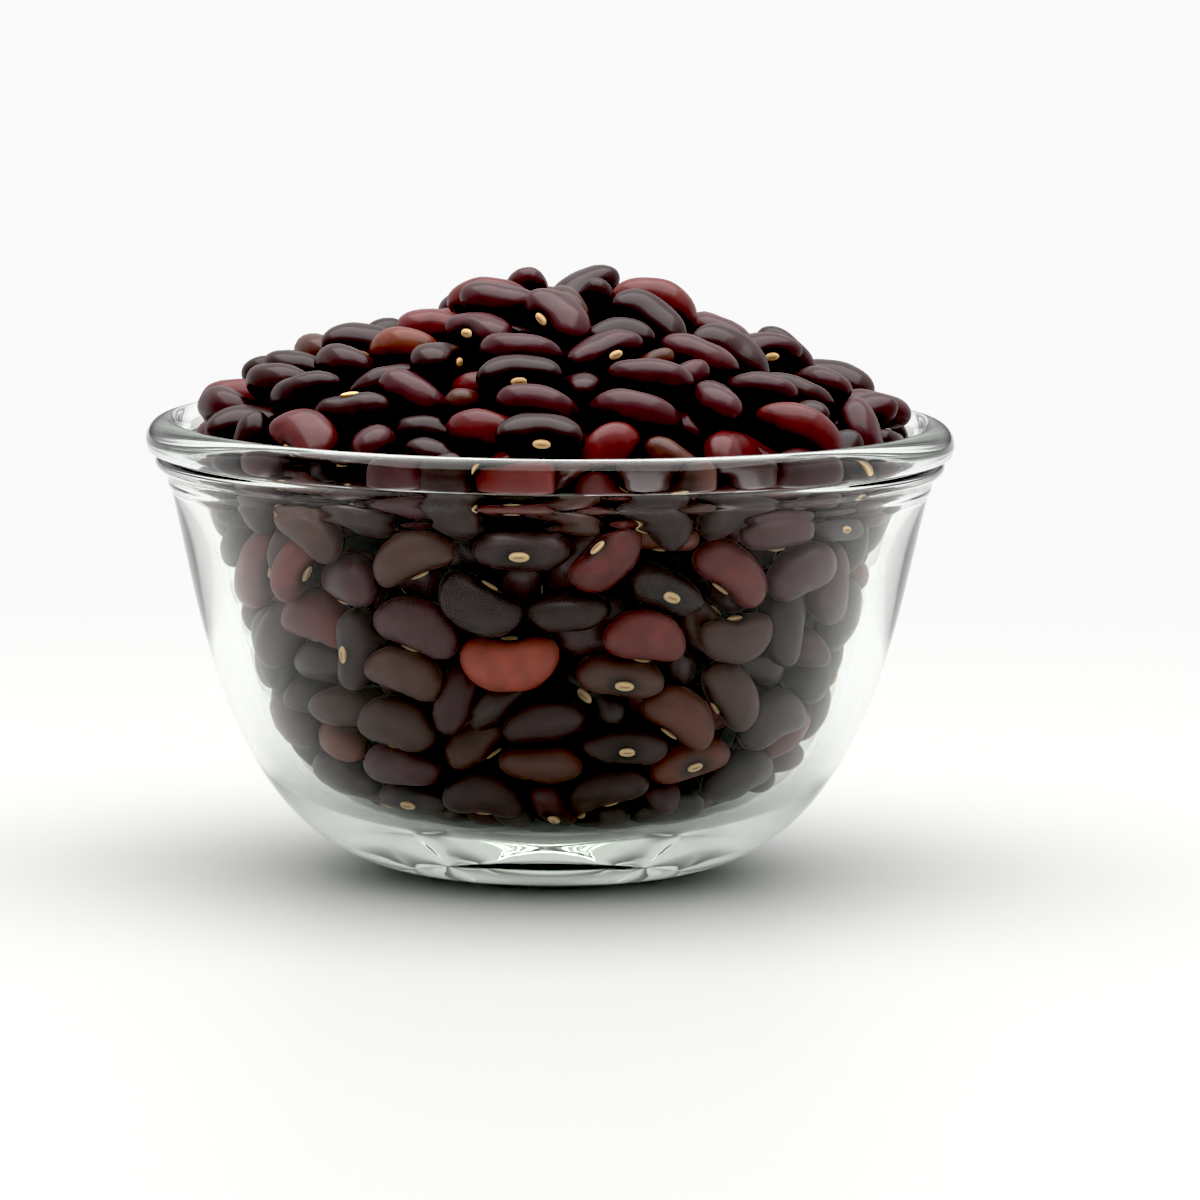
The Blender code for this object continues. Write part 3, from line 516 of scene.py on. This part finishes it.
def lying_flat(normal, draw, wobble):
    """A bean's axes when its broad side lies near a surface, turned at random."""
    normal = normal + wobble * draw.normal(size=3)
    thin = normal / np.linalg.norm(normal)
    spare = draw.normal(size=3)
    long_axis = np.cross(thin, spare)
    long_axis /= np.linalg.norm(long_axis)
    return np.column_stack([long_axis, np.cross(thin, long_axis), thin])


class Pile:
    """Every bean: its centre, its axes as columns, its size, and how easily it shifts."""

    def __init__(self):
        self.centre, self.axes, self.size, self.ease, self.lift = [], [], [], [], []

    def add(self, centre, axes, size, ease, lift):
        """Takes in one bean."""
        self.centre.append(centre)
        self.axes.append(axes)
        self.size.append(size)
        self.ease.append(ease)
        self.lift.append(lift)

    def freeze(self):
        """Turns the lists into arrays, once every bean is in."""
        self.centre, self.axes = np.array(self.centre), np.array(self.axes)
        self.size, self.ease = np.array(self.size), np.array(self.ease)
        self.lift = np.array(self.lift)


def place_beans(line, draw):
    """The beans that show from the front, then the rest of the outer layers at random."""
    pile = Pile()
    for place, (across, up, turn, roll, yaw, size) in enumerate(ON_THE_HEAP):
        centre = place_on_heap(across * MM, up * MM)
        ease = FIRM_EASE if place in FIRM_ON_THE_HEAP else HELD_EASE
        pile.add(centre, seen_turn(turn, roll, yaw), size, ease, 2 * STAND_OUT)
    for place, (across, up, turn, roll, yaw, size) in enumerate(BEHIND_THE_GLASS):
        centre, angle = place_behind_glass(across * MM, up * MM, line)
        ease = FIRM_EASE if place in FIRM_BEHIND_THE_GLASS else HELD_EASE
        axes = seen_turn(turn, roll, yaw, ROUND_WALL_SHARE * angle)
        pile.add(centre, axes, size * SHOWN_NEARER, ease, 0.0)
    for depth, spacing in LAYERS:
        spot = draw.uniform(-1, 1, (LAYER_TRIES, 3)) * INNER_TOP[0]
        spot[:, 2] = draw.uniform(FLOOR_HEIGHT, HEAP_TOP, LAYER_TRIES)
        in_glass, from_glass = depth_in_glass(spot, line)
        in_heap, from_heap = depth_in_heap(spot)
        normal = np.where((in_glass < in_heap)[:, None], from_glass, from_heap)
        off = depth - np.minimum(in_glass, in_heap)
        spot += normal * off[:, None]
        for index in np.nonzero(np.abs(off) < LAYER_REACH)[0]:
            if np.linalg.norm(np.array(pile.centre) - spot[index], axis=1).min() < spacing:
                continue
            size = float(np.clip(draw.normal(1.0, SIZE_SPREAD), *SIZE_LIMITS))
            axes = lying_flat(normal[index], draw, LYING_WOBBLE)
            pile.add(spot[index], axes, size, LOOSE_EASE, draw.uniform(0, STAND_OUT))
    pile.freeze()
    return pile


def ball_places():
    """Balls that fill one usual bean, for keeping beans apart."""
    end = (BEAN_LENGTH - BEAN_THICKNESS) / 2
    side = (BEAN_WIDTH - BEAN_THICKNESS) / 2
    return np.array([(x, y - BEAN_BEND * (x / end) ** 2 * BALL_BEND + BEAN_BACK * BEAN_BEND, 0.0)
                     for x in (-end, 0.0, end) for y in (-side, side)])


def give(pile, rows, arm, normal):
    """How readily each bean moves away along the normal of a contact."""
    spin = np.cross(arm, normal)
    ease = pile.ease[rows]
    return (normal ** 2 * ease).sum(axis=1) + ease[:, 1] * (spin ** 2).sum(axis=1) / GRIP


def shift(pile, rows, arm, normal, opening):
    """Moves and turns beans so that each given contact opens by a distance."""
    spin = np.cross(arm, normal)
    push = opening / give(pile, rows, arm, normal)
    ease = pile.ease[rows]
    return push[:, None] * normal * ease, push[:, None] * spin * ease[:, :1] / GRIP


def settle(pile, line, draw):
    """Pushes overlapping beans apart inside the glass and the heap, a little at a time."""
    balls = ball_places()[None] * pile.size[:, None, None]
    radius = 0.5 * BEAN_THICKNESS * pile.size
    count = len(pile.size)
    for step in range(SETTLING_STEPS):
        if step % NEIGHBOURS_EVERY == 0:
            apart = np.linalg.norm(pile.centre[:, None] - pile.centre[None], axis=2)
            first, second = np.nonzero(np.triu(apart < NEIGHBOUR_REACH * BEAN_LENGTH, 1))
        arms = np.einsum("nij,nkj->nki", pile.axes, balls)
        places = pile.centre[:, None] + arms
        between = places[first][:, :, None] - places[second][:, None]
        distance = np.sqrt((between ** 2).sum(axis=3)).reshape(len(first), -1)
        closest = distance.argmin(axis=1)
        row = np.arange(len(first))
        overlap = radius[first] + radius[second] - distance[row, closest]
        hit = overlap > 0
        row, closest, overlap = row[hit], closest[hit], overlap[hit]
        one, two = first[hit], second[hit]
        one_ball, two_ball = closest // balls.shape[1], closest % balls.shape[1]
        normal = between[row, one_ball, two_ball] / np.maximum(distance[row, closest], TINY)[:, None]
        move, turn = np.zeros((count, 3)), np.zeros((count, 3))
        give_one = give(pile, one, arms[one, one_ball], normal)
        share = give_one / (give_one + give(pile, two, arms[two, two_ball], normal))
        for rows, ball, way, part in ((one, one_ball, normal, share), (two, two_ball, -normal, 1 - share)):
            pushed, spun = shift(pile, rows, arms[rows, ball], way, PUSH_APART * part * overlap)
            np.add.at(move, rows, pushed)
            np.add.at(turn, rows, spun)
        flat = places.reshape(-1, 3)
        owner = np.repeat(np.arange(count), balls.shape[1])
        flat_arms = arms.reshape(-1, 3)
        limits = ((*depth_in_glass(flat, line), GAP_TO_GLASS, PUSH_FROM_GLASS),
                  (*depth_in_heap(flat, pile.lift[owner]), 0.0, PUSH_INTO_HEAP))
        for depth, way_in, gap, share in limits:
            outside = radius[owner] + gap - depth
            out = outside > 0
            pushed, spun = shift(pile, owner[out], flat_arms[out], way_in[out], share * outside[out])
            np.add.at(move, owner[out], pushed)
            np.add.at(turn, owner[out], spun)
        in_glass, from_glass = depth_in_glass(pile.centre, line)
        in_heap, from_heap = depth_in_heap(pile.centre)
        by_glass = (in_glass < in_heap)[:, None]
        outward = -np.where(by_glass, from_glass, from_heap)
        sunk = np.clip(np.minimum(in_glass, in_heap) - DEEPEST, 0, None)
        pressing = PRESSING * max(0.0, 1 - step / (PRESSING_PART * SETTLING_STEPS))
        move += outward * (pressing + PUSH_OUT_OF_DEEP * sunk)[:, None] * pile.ease
        move += pressing * draw.normal(size=(count, 3)) * pile.ease
        pile.centre = pile.centre + move
        for index, angle in enumerate(np.linalg.norm(turn, axis=1)):
            if angle > LEAST_TURN:
                turned = turn_matrix(turn[index] / angle, min(angle, MOST_TURN))
                pile.axes[index] = turned @ pile.axes[index]
    pile.centre = np.round(pile.centre, PLACE_DIGITS)
    pile.axes = np.round(pile.axes, TURN_DIGITS)


def way_clear_of_glass(places, line):
    """The shift that brings a bean's corners clear of the inside of the glass."""
    shift_in = np.zeros(3)
    for repeat in range(CLEARING_ROUNDS):
        depth, way_in = depth_in_glass(places + shift_in, line)
        closest = depth.argmin()
        shift_in = shift_in + way_in[closest] * max(0.0, GAP_TO_GLASS - depth[closest])
    return shift_in


def mesh_object(name, corners, faces, look):
    """A smooth mesh in the scene, with one material."""
    mesh = bpy.data.meshes.new(name)
    mesh.from_pydata(corners, [], faces)
    mesh.materials.append(look)
    mesh.shade_smooth()
    made = bpy.data.objects.new(name, mesh)
    bpy.context.scene.collection.objects.link(made)
    return made


def fine_glass_profile():
    """The section of the glass with every ring of the rim, from the foot round to the floor inside."""
    wall = outer_wall(FINE_WALL)
    below_step = wall[wall[:, 1] < STEP_HEIGHT]
    step = [(WALL_TOP[0] - STEP_INSET, STEP_HEIGHT), (WALL_TOP[0] + STEP_DEPTH, STEP_HEIGHT + STEP_RISE)]
    ledge = [(WALL_TOP[0] + STEP_DEPTH, WALL_TOP[1] + LEDGE_RISE)]
    ridge = arc(RIDGE_CENTRE, RIDGE_RADII, RIDGE_ARC, FINE_RIDGE)
    bead = arc(BEAD_CENTRE, BEAD_RADII, BEAD_ARC, FINE_BEAD)
    rim = softened(np.vstack([below_step[-WALL_IN_RIM:], step, ledge, ridge, bead]))
    inside = inner_wall(FINE_INSIDE)[::-1]
    foot = [(0.0, 0.0), (FOOT_RADIUS - FOOT_EDGE, 0.0)]
    return np.vstack([foot, below_step[:-WALL_IN_RIM], rim, inside, [(0.0, FLOOR_HEIGHT)]])


def softened(line):
    """The same line in even steps, with its corners rounded as in pressed glass. Its ends stay."""
    run = np.append(0.0, np.cumsum(np.linalg.norm(np.diff(line, axis=0), axis=1)))
    even = np.linspace(0.0, run[-1], round(run[-1] / RIM_STEP) + 1)
    reach = np.minimum(EDGE_SOFTNESS, np.minimum(even, run[-1] - even))
    shares = np.linspace(-1.0, 1.0, SOFT_SAMPLES)
    weights = 1.0 - SOFT_FADE * np.abs(shares)
    soft = np.zeros((len(even), 2))
    for share, weight in zip(shares, weights / weights.sum()):
        at = even + share * reach
        soft += weight * np.stack([np.interp(at, run, line[:, 0]), np.interp(at, run, line[:, 1])], axis=1)
    return soft


def closed_faces(rings, sides):
    """Faces of a closed surface: rings of corners between one first and one last corner."""
    last = rings * sides + 1
    faces = []
    for side in range(sides):
        after = (side + 1) % sides
        faces.append((0, 1 + after, 1 + side))
        for ring in range(rings - 1):
            low, high = 1 + ring * sides, 1 + (ring + 1) * sides
            faces.append((low + side, low + after, high + after, high + side))
        faces.append((last, last - sides + side, last - sides + after))
    return faces


def lathe(name, profile, sides, look):
    """A closed turned body, from its section on the axis at both ends."""
    angles = 2 * math.pi * np.arange(sides) / sides
    rings = profile[1:-1]
    corners = [(0.0, 0.0, profile[0, 1])]
    for radius, height in rings:
        corners += [(radius * math.cos(angle), radius * math.sin(angle), height) for angle in angles]
    corners.append((0.0, 0.0, profile[-1, 1]))
    return mesh_object(name, corners, closed_faces(len(rings), sides), look)


def fine_bean(draw):
    """Corners of one bean with its own taper, bend and dimples, and where its belly lies."""
    length = BEAN_LENGTH * draw.uniform(*LENGTHS)
    width = BEAN_WIDTH * draw.uniform(*WIDTHS)
    thickness = BEAN_THICKNESS * draw.uniform(*THICKNESSES)
    bend = BEAN_BEND * draw.uniform(*BENDS)
    dent = BEAN_DENT * draw.uniform(*DENTS)
    taper = draw.uniform(-TAPER, TAPER)
    skew = draw.uniform(-SKEW, SKEW)
    ring = np.arange(1, FINE_RINGS + 1)
    along = -np.cos(math.pi * ring / (FINE_RINGS + 1))[:, None]
    angle = (2 * math.pi * np.arange(FINE_ROUND) / FINE_ROUND)[None, :]
    bluntness = BEAN_BLUNTNESS * draw.uniform(*BLUNTNESSES)
    girth = (1 - np.abs(along) ** bluntness) ** 0.5 * (1 + taper * along)
    across = np.sign(np.cos(angle)) * np.abs(np.cos(angle)) ** SQUARENESS * 0.5 * width * girth
    across = np.where(across < 0, across * (1 - dent * (1 - along ** 2)), across)
    across = across - bend * (along + skew) ** 2 + BEAN_BACK * BEAN_BEND
    thick = np.sign(np.sin(angle)) * np.abs(np.sin(angle)) ** SQUARENESS * 0.5 * thickness * girth
    starts = draw.uniform(0, 2 * math.pi, WAVE_DRAWS)
    waves = sum(strength * np.sin(lengthways * along + round_it * angle + start)
                for (lengthways, round_it, strength), start in zip(DIMPLE_WAVES, starts))
    dimple = DIMPLE * waves * girth
    across = across + dimple * np.cos(angle)
    thick = thick + dimple * np.sin(angle)
    grid = np.stack([np.broadcast_to(0.5 * length * along, across.shape), across, thick], axis=2)
    ends = [np.array([[sign * 0.5 * length, -bend * (sign + skew) ** 2 + BEAN_BACK * BEAN_BEND, 0.0]])
            for sign in (-1, 1)]
    belly = across[FINE_RINGS // 2, FINE_ROUND // 2]
    return np.vstack([ends[0], grid.reshape(-1, 3), ends[1]]), belly


def eye_surface(rings, sides):
    """Corners and faces of a flattened ball, for the pale eye of a bean."""
    corners = [(0.0, -1.0, 0.0)]
    for ring in range(1, rings):
        tilt = math.pi * ring / rings
        corners += [(math.sin(tilt) * math.cos(2 * math.pi * side / sides), -math.cos(tilt),
                     math.sin(tilt) * math.sin(2 * math.pi * side / sides)) for side in range(sides)]
    corners.append((0.0, 1.0, 0.0))
    outward = [(face[0], *reversed(face[1:])) for face in closed_faces(rings - 1, sides)]
    return np.array(corners) * np.array(EYE_RADII), outward


class Joined:
    """Corners and faces of many small shapes, collected for one mesh."""

    def __init__(self):
        self.corners, self.faces, self.values, self.count = [], [], [], 0

    def add(self, corners, faces, values):
        """Takes in one shape, with a value for each of its corners."""
        self.corners.append(corners)
        self.faces += [tuple(corner + self.count for corner in face) for face in faces]
        self.values.append(values)
        self.count += len(corners)

    def make(self, name, look, value_name):
        """The one mesh of all shapes taken in."""
        made = mesh_object(name, np.vstack(self.corners).tolist(), self.faces, look)
        layer = made.data.attributes.new(value_name, "FLOAT", "POINT")
        layer.data.foreach_set("value", np.concatenate(self.values).astype(np.float32))
        return made


def skin_of(index, draw):
    """The skin of a bean: as seen for those placed from the lists, and at random for the rest."""
    # Listed skins hold painted shade: beans that lay in shade have the dark skin
    if index < len(HEAP_SKINS_AND_SHADE):
        return HEAP_SKINS_AND_SHADE[index]
    if index < len(HEAP_SKINS_AND_SHADE) + len(GLASS_SKINS_AND_SHADE):
        return GLASS_SKINS_AND_SHADE[index - len(HEAP_SKINS_AND_SHADE)]
    names = list(SKINS)
    return names[draw.choice(len(names), p=[SKINS[name][1] for name in names])]


def node_tree(look):
    """The emptied nodes of a material, and their links."""
    look.use_nodes = True
    nodes = look.node_tree.nodes
    nodes.clear()
    return nodes, look.node_tree.links


def noise(nodes, links, place, scale):
    """Noise fixed to the piece, of a given fineness."""
    made = nodes.new("ShaderNodeTexNoise")
    made.inputs["Scale"].default_value = scale
    made.inputs["Detail"].default_value = NOISE_DETAIL
    links.new(place.outputs["Object"], made.inputs["Vector"])
    return made


def multiply(nodes, links, first, second):
    """One colour times another."""
    made = nodes.new("ShaderNodeMix")
    made.data_type = "RGBA"
    made.blend_type = "MULTIPLY"
    made.inputs["Factor"].default_value = 1.0
    links.new(first, made.inputs["A"])
    links.new(second, made.inputs["B"])
    return made.outputs["Result"]


def skin_material(name, colour):
    """Satin bean skin: mottled, each bean in a shade of its own, darker round the eye."""
    look = bpy.data.materials.new(name)
    nodes, links = node_tree(look)
    out = nodes.new("ShaderNodeOutputMaterial")
    shader = nodes.new("ShaderNodeBsdfPrincipled")
    shader.inputs["IOR"].default_value = SKIN_INDEX
    shader.inputs["Specular IOR Level"].default_value = SKIN_MIRROR
    shader.inputs["Coat Weight"].default_value = COAT
    shader.inputs["Coat Roughness"].default_value = COAT_ROUGHNESS
    links.new(shader.outputs["BSDF"], out.inputs["Surface"])
    place = nodes.new("ShaderNodeTexCoord")
    mottle = noise(nodes, links, place, MOTTLE_SCALE)
    patch = noise(nodes, links, place, PATCH_SCALE)
    island = nodes.new("ShaderNodeNewGeometry")
    tint = nodes.new("ShaderNodeValToRGB")
    tint.color_ramp.elements[0].color = (*[part * DARKEST for part in colour], 1)
    tint.color_ramp.elements[1].color = (*[part * PALEST for part in colour], 1)
    sum_up = nodes.new("ShaderNodeMath")
    sum_up.operation = "MULTIPLY_ADD"
    sum_up.inputs[1].default_value = BEAN_SHARE
    links.new(island.outputs["Random Per Island"], sum_up.inputs[0])
    scaled = nodes.new("ShaderNodeMath")
    scaled.operation = "MULTIPLY"
    scaled.inputs[1].default_value = PATCH_SHARE
    links.new(patch.outputs["Fac"], scaled.inputs[0])
    links.new(scaled.outputs[0], sum_up.inputs[2])
    links.new(sum_up.outputs[0], tint.inputs["Fac"])
    speck = nodes.new("ShaderNodeValToRGB")
    for stop, position, shade in zip(speck.color_ramp.elements, SPECK_ENDS, (SPECK_DARK, SPECK_PALE)):
        stop.position = position
        stop.color = shade
    links.new(mottle.outputs["Fac"], speck.inputs["Fac"])
    grain = multiply(nodes, links, tint.outputs["Color"], speck.outputs["Color"])
    from_eye = nodes.new("ShaderNodeAttribute")
    from_eye.attribute_name = "from_eye"
    halo = nodes.new("ShaderNodeMapRange")
    halo.inputs["From Min"].default_value = HALO_REACH[0]
    halo.inputs["From Max"].default_value = HALO_REACH[1]
    halo.inputs["To Min"].default_value = HALO_DARKNESS[0]
    halo.inputs["To Max"].default_value = HALO_DARKNESS[1]
    links.new(from_eye.outputs["Fac"], halo.inputs["Value"])
    links.new(multiply(nodes, links, grain, halo.outputs["Result"]), shader.inputs["Base Color"])
    gloss = nodes.new("ShaderNodeMapRange")
    gloss.inputs["To Min"].default_value = SKIN_ROUGHNESS[0]
    gloss.inputs["To Max"].default_value = SKIN_ROUGHNESS[1]
    links.new(patch.outputs["Fac"], gloss.inputs["Value"])
    links.new(gloss.outputs["Result"], shader.inputs["Roughness"])
    bump = nodes.new("ShaderNodeBump")
    bump.inputs["Strength"].default_value = BUMP_STRENGTH
    bump.inputs["Distance"].default_value = BUMP_HEIGHT
    links.new(mottle.outputs["Fac"], bump.inputs["Height"])
    links.new(bump.outputs["Normal"], shader.inputs["Normal"])
    return look


def eye_material():
    """The pale eye, with a tan line along its middle and a tan edge."""
    look = bpy.data.materials.new("bean_eye")
    nodes, links = node_tree(look)
    out = nodes.new("ShaderNodeOutputMaterial")
    shader = nodes.new("ShaderNodeBsdfPrincipled")
    shader.inputs["Roughness"].default_value = EYE_ROUGHNESS
    links.new(shader.outputs["BSDF"], out.inputs["Surface"])
    value = nodes.new("ShaderNodeAttribute")
    value.attribute_name = "from_middle"
    ramp = nodes.new("ShaderNodeValToRGB")
    stops = ramp.color_ramp.elements
    stops[0].position, stops[0].color = EYE_COLOURS[0]
    stops[1].position, stops[1].color = EYE_COLOURS[1]
    for position, shade in EYE_COLOURS[2:]:
        stops.new(position).color = shade
    links.new(value.outputs["Fac"], ramp.inputs["Fac"])
    links.new(ramp.outputs["Color"], shader.inputs["Base Color"])
    return look


def glass_material():
    """Clear glass, faintly green where it is thick, that lets the lamps' light through."""
    look = bpy.data.materials.new("clear_glass")
    nodes, links = node_tree(look)
    out = nodes.new("ShaderNodeOutputMaterial")
    glass = nodes.new("ShaderNodeBsdfPrincipled")
    glass.inputs["Base Color"].default_value = GLASS_COLOUR
    glass.inputs["Roughness"].default_value = 0.0
    glass.inputs["IOR"].default_value = GLASS_INDEX
    glass.inputs["Transmission Weight"].default_value = 1.0
    glass.inputs["Specular Tint"].default_value = GLASS_MIRROR
    clear = nodes.new("ShaderNodeBsdfTransparent")
    clear.inputs["Color"].default_value = GLASS_SHADOW
    path = nodes.new("ShaderNodeLightPath")
    mix = nodes.new("ShaderNodeMixShader")
    links.new(path.outputs["Is Shadow Ray"], mix.inputs["Fac"])
    links.new(glass.outputs["BSDF"], mix.inputs[1])
    links.new(clear.outputs["BSDF"], mix.inputs[2])
    links.new(mix.outputs["Shader"], out.inputs["Surface"])
    depth = nodes.new("ShaderNodeVolumeAbsorption")
    depth.inputs["Color"].default_value = GLASS_DEPTH_COLOUR
    depth.inputs["Density"].default_value = GLASS_DENSITY
    links.new(depth.outputs["Volume"], out.inputs["Volume"])
    return look


def plain_material(name, colour, roughness):
    """A material of one colour."""
    look = bpy.data.materials.new(name)
    look.use_nodes = True
    shader = look.node_tree.nodes["Principled BSDF"]
    shader.inputs["Base Color"].default_value = (*colour, 1)
    shader.inputs["Roughness"].default_value = roughness
    return look


def build_glass():
    """The clear bowl."""
    bowl = lathe("clear_bowl", fine_glass_profile(), FINE_SIDES, glass_material())
    bowl.data.set_sharp_from_angle(angle=SHARP_FROM)
    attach(bowl, "root")
    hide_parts("glass_bowl")


def shape_beans(pile, line):
    """The beans that show, by skin, and their eyes. Deeper beans take their random draws and no more."""
    look_draw = np.random.RandomState(LOOK_SEED)
    depth = np.minimum(depth_in_glass(pile.centre, line)[0], depth_in_heap(pile.centre)[0])
    faces = closed_faces(FINE_RINGS, FINE_ROUND)
    eye_corners, eye_faces = eye_surface(EYE_RINGS, EYE_SIDES)
    radial = np.hypot(eye_corners[:, 0] / EYE_RADII[0], eye_corners[:, 2] / EYE_RADII[2])
    from_line = np.maximum(np.abs(eye_corners[:, 2]) / EYE_RADII[2], radial ** 3)
    kinds = {name: Joined() for name in SKINS}
    eyes = Joined()
    for index in range(len(pile.size)):
        skin = skin_of(index, look_draw)
        corners, belly = fine_bean(look_draw)
        eye_size = look_draw.uniform(*EYE_SIZES)
        if depth[index] > SHOWN_DEPTH:
            continue
        eye_place = np.array([0.0, belly, 0.0])
        from_eye = np.linalg.norm((corners - eye_place) * HALO_FORM, axis=1)
        placed = (corners * pile.size[index]) @ pile.axes[index].T + pile.centre[index]
        clear = way_clear_of_glass(placed, line)
        kinds[skin].add(placed + clear, faces, from_eye)
        eye = eye_corners * eye_size + eye_place
        eye = (eye * pile.size[index]) @ pile.axes[index].T + pile.centre[index]
        eyes.add(eye + clear, eye_faces, from_line)
    return kinds, eyes


def build_beans():
    """Every bean that shows, one piece for each skin, with the eyes and the middle of the heap in painted
    shade.
    """
    line = wall_line()
    draw = np.random.RandomState(PILE_SEED)
    pile = place_beans(line, draw)
    settle(pile, line, draw)
    kinds, eyes = shape_beans(pile, line)
    for name, joined in kinds.items():
        if joined.count:
            beans = joined.make("beans_" + name, skin_material("skin_" + name, SKINS[name][0]), "from_eye")
            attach(beans, "root")
            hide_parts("beans")
    bright = eyes.make("bean_eyes", eye_material(), "from_middle")
    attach(bright, "root")
    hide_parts("beans")
    # A near-black body under the beans that show: painted shade
    painted_shade = plain_material("dark_core", CORE_PAINTED_SHADE, DARK_CORE_ROUGHNESS)
    core = lathe("dark_core", dark_core_profile(line), DARK_CORE_SIDES, painted_shade)
    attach(core, "root")
    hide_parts("beans")


def dark_core_profile(line):
    """The middle of the heap, well under the beans that show, coloured near-black as painted shade."""
    wall = []
    for radius, height in inner_wall(DARK_CORE_WALL)[1:]:
        point = np.array([[radius, 0.0, height]])
        depth, way_in = depth_in_glass(point, line)
        inside = point + way_in * (DARK_CORE_DEPTH - depth)[:, None]
        wall.append((inside[0, 0], inside[0, 2]))
    out = np.linspace(DARK_CORE_REACH, 0.0, DARK_CORE_TOP) * HEAP_RADIUS
    top = [(radius, float(heap_height(0.0, radius)) - DARK_CORE_DEPTH) for radius in out]
    return np.vstack([[(0.0, FLOOR_HEIGHT + DARK_CORE_DEPTH)], wall, top])


def build_camera():
    """The photograph's view: almost square on, from a little above."""
    away = Vector((0, math.cos(VIEW_TILT), -math.sin(VIEW_TILT)))
    aim = Vector((VIEW_SIDE, 0, VIEW_HEIGHT))
    lens = bpy.data.cameras.new("camera")
    lens.sensor_width = SENSOR_WIDTH
    lens.lens = SENSOR_WIDTH * VIEW_DISTANCE / FRAME_WIDTH
    lens.clip_end = SEEN_UP_TO
    camera = bpy.data.objects.new("camera", lens)
    turned_up = away.to_track_quat("-Z", "Y").to_matrix() @ Matrix.Rotation(VIEW_ROLL, 3, "Z")
    camera.matrix_world = Matrix.Translation(aim - VIEW_DISTANCE * away) @ turned_up.to_4x4()
    bpy.context.scene.collection.objects.link(camera)
    bpy.context.scene.camera = camera


def soft_range(nodes, links, value, ends):
    """A soft step from 0 to 1 as a value goes from one end to the other."""
    made = nodes.new("ShaderNodeMapRange")
    made.interpolation_type = "SMOOTHSTEP"
    made.inputs["From Min"].default_value = ends[0]
    made.inputs["From Max"].default_value = ends[1]
    links.new(value, made.inputs["Value"])
    return made


def build_floor():
    """A pale table that brightens behind the bowl into an even white background."""
    ways = ((-1, -1), (1, -1), (1, 1), (-1, 1))
    corners = [(x * FLOOR_REACH, y * FLOOR_REACH, -FLOOR_GAP) for x, y in ways]
    look = plain_material("floor", FLOOR_COLOUR, FLOOR_ROUGHNESS)
    nodes, links = look.node_tree.nodes, look.node_tree.links
    table = nodes["Principled BSDF"]
    out = nodes["Material Output"]
    white = nodes.new("ShaderNodeEmission")
    white.inputs["Color"].default_value = (*BACKGROUND, 1)
    white.inputs["Strength"].default_value = 1.0
    place = nodes.new("ShaderNodeTexCoord")
    split = nodes.new("ShaderNodeSeparateXYZ")
    links.new(place.outputs["Object"], split.inputs[0])
    fade = soft_range(nodes, links, split.outputs["Y"], TABLE_END)
    mix = nodes.new("ShaderNodeMixShader")
    links.new(fade.outputs["Result"], mix.inputs["Fac"])
    links.new(table.outputs["BSDF"], mix.inputs[1])
    links.new(white.outputs["Emission"], mix.inputs[2])
    links.new(mix.outputs["Shader"], out.inputs["Surface"])
    floor = mesh_object("floor", corners, [(0, 1, 2, 3)], look)


def build_softbox():
    """The soft lamp over the bowl."""
    lamp = bpy.data.lights.new("softbox_above", "AREA")
    lamp.shape = "RECTANGLE"
    lamp.size, lamp.size_y = SOFTBOX_SIZE
    lamp.energy = SOFTBOX_POWER
    made = bpy.data.objects.new("softbox_above", lamp)
    made.location = SOFTBOX_PLACE
    down = Vector(SOFTBOX_AIM) - Vector(SOFTBOX_PLACE)
    made.rotation_euler = down.to_track_quat("-Z", "Y").to_euler()
    bpy.context.scene.collection.objects.link(made)


def build_studio():
    """White surroundings, greyer on the camera's side, with a darker patch low behind the bowl."""
    world = bpy.data.worlds.new("studio")
    bpy.context.scene.world = world
    world.use_nodes = True
    nodes, links = world.node_tree.nodes, world.node_tree.links
    place = nodes.new("ShaderNodeTexCoord")
    split = nodes.new("ShaderNodeSeparateXYZ")
    links.new(place.outputs["Generated"], split.inputs[0])
    shade = nodes.new("ShaderNodeValToRGB")
    ramp = nodes.new("ShaderNodeMapRange")
    ramp.inputs["From Min"].default_value = -1.0
    ramp.inputs["From Max"].default_value = 1.0
    links.new(split.outputs["Y"], ramp.inputs["Value"])
    links.new(ramp.outputs["Result"], shade.inputs["Fac"])
    stops = shade.color_ramp.elements
    ends = (stops[0], stops[1])
    for stop, (position, grey) in zip(ends, (WORLD_FRONT, WORLD_BACK)):
        stop.position = position
        stop.color = (grey, grey, grey, 1)
    position, grey = WORLD_SIDE
    stops.new(position).color = (grey, grey, grey, 1)
    links.new(shade.outputs["Color"], nodes["Background"].inputs["Color"])
    dusk = soft_range(nodes, links, split.outputs["Z"], (0.0, WORLD_DIM_UP_TO))
    dusk.inputs["To Min"].default_value = WORLD_DIM
    behind = soft_range(nodes, links, split.outputs["Y"], WORLD_DIM_BEHIND)
    horizon = nodes.new("ShaderNodeMix")
    horizon.inputs["A"].default_value = 1.0
    links.new(behind.outputs["Result"], horizon.inputs["Factor"])
    links.new(dusk.outputs["Result"], horizon.inputs["B"])
    links.new(horizon.outputs["Result"], nodes["Background"].inputs["Strength"])


def set_tones():
    """Plain colours with the photograph's deep blacks, and enough bounces for the thick glass."""
    scene = bpy.context.scene
    scene.view_settings.view_transform = "Standard"
    scene.view_settings.use_curve_mapping = True
    scene.view_settings.curve_mapping.black_level = (BLACK_LEVEL,) * 3
    scene.cycles.max_bounces = ALL_BOUNCES
    scene.cycles.glossy_bounces = GLASS_BOUNCES
    scene.cycles.transmission_bounces = GLASS_BOUNCES


build_camera()
build_glass()
build_beans()
build_floor()
build_studio()
build_softbox()
set_tones()
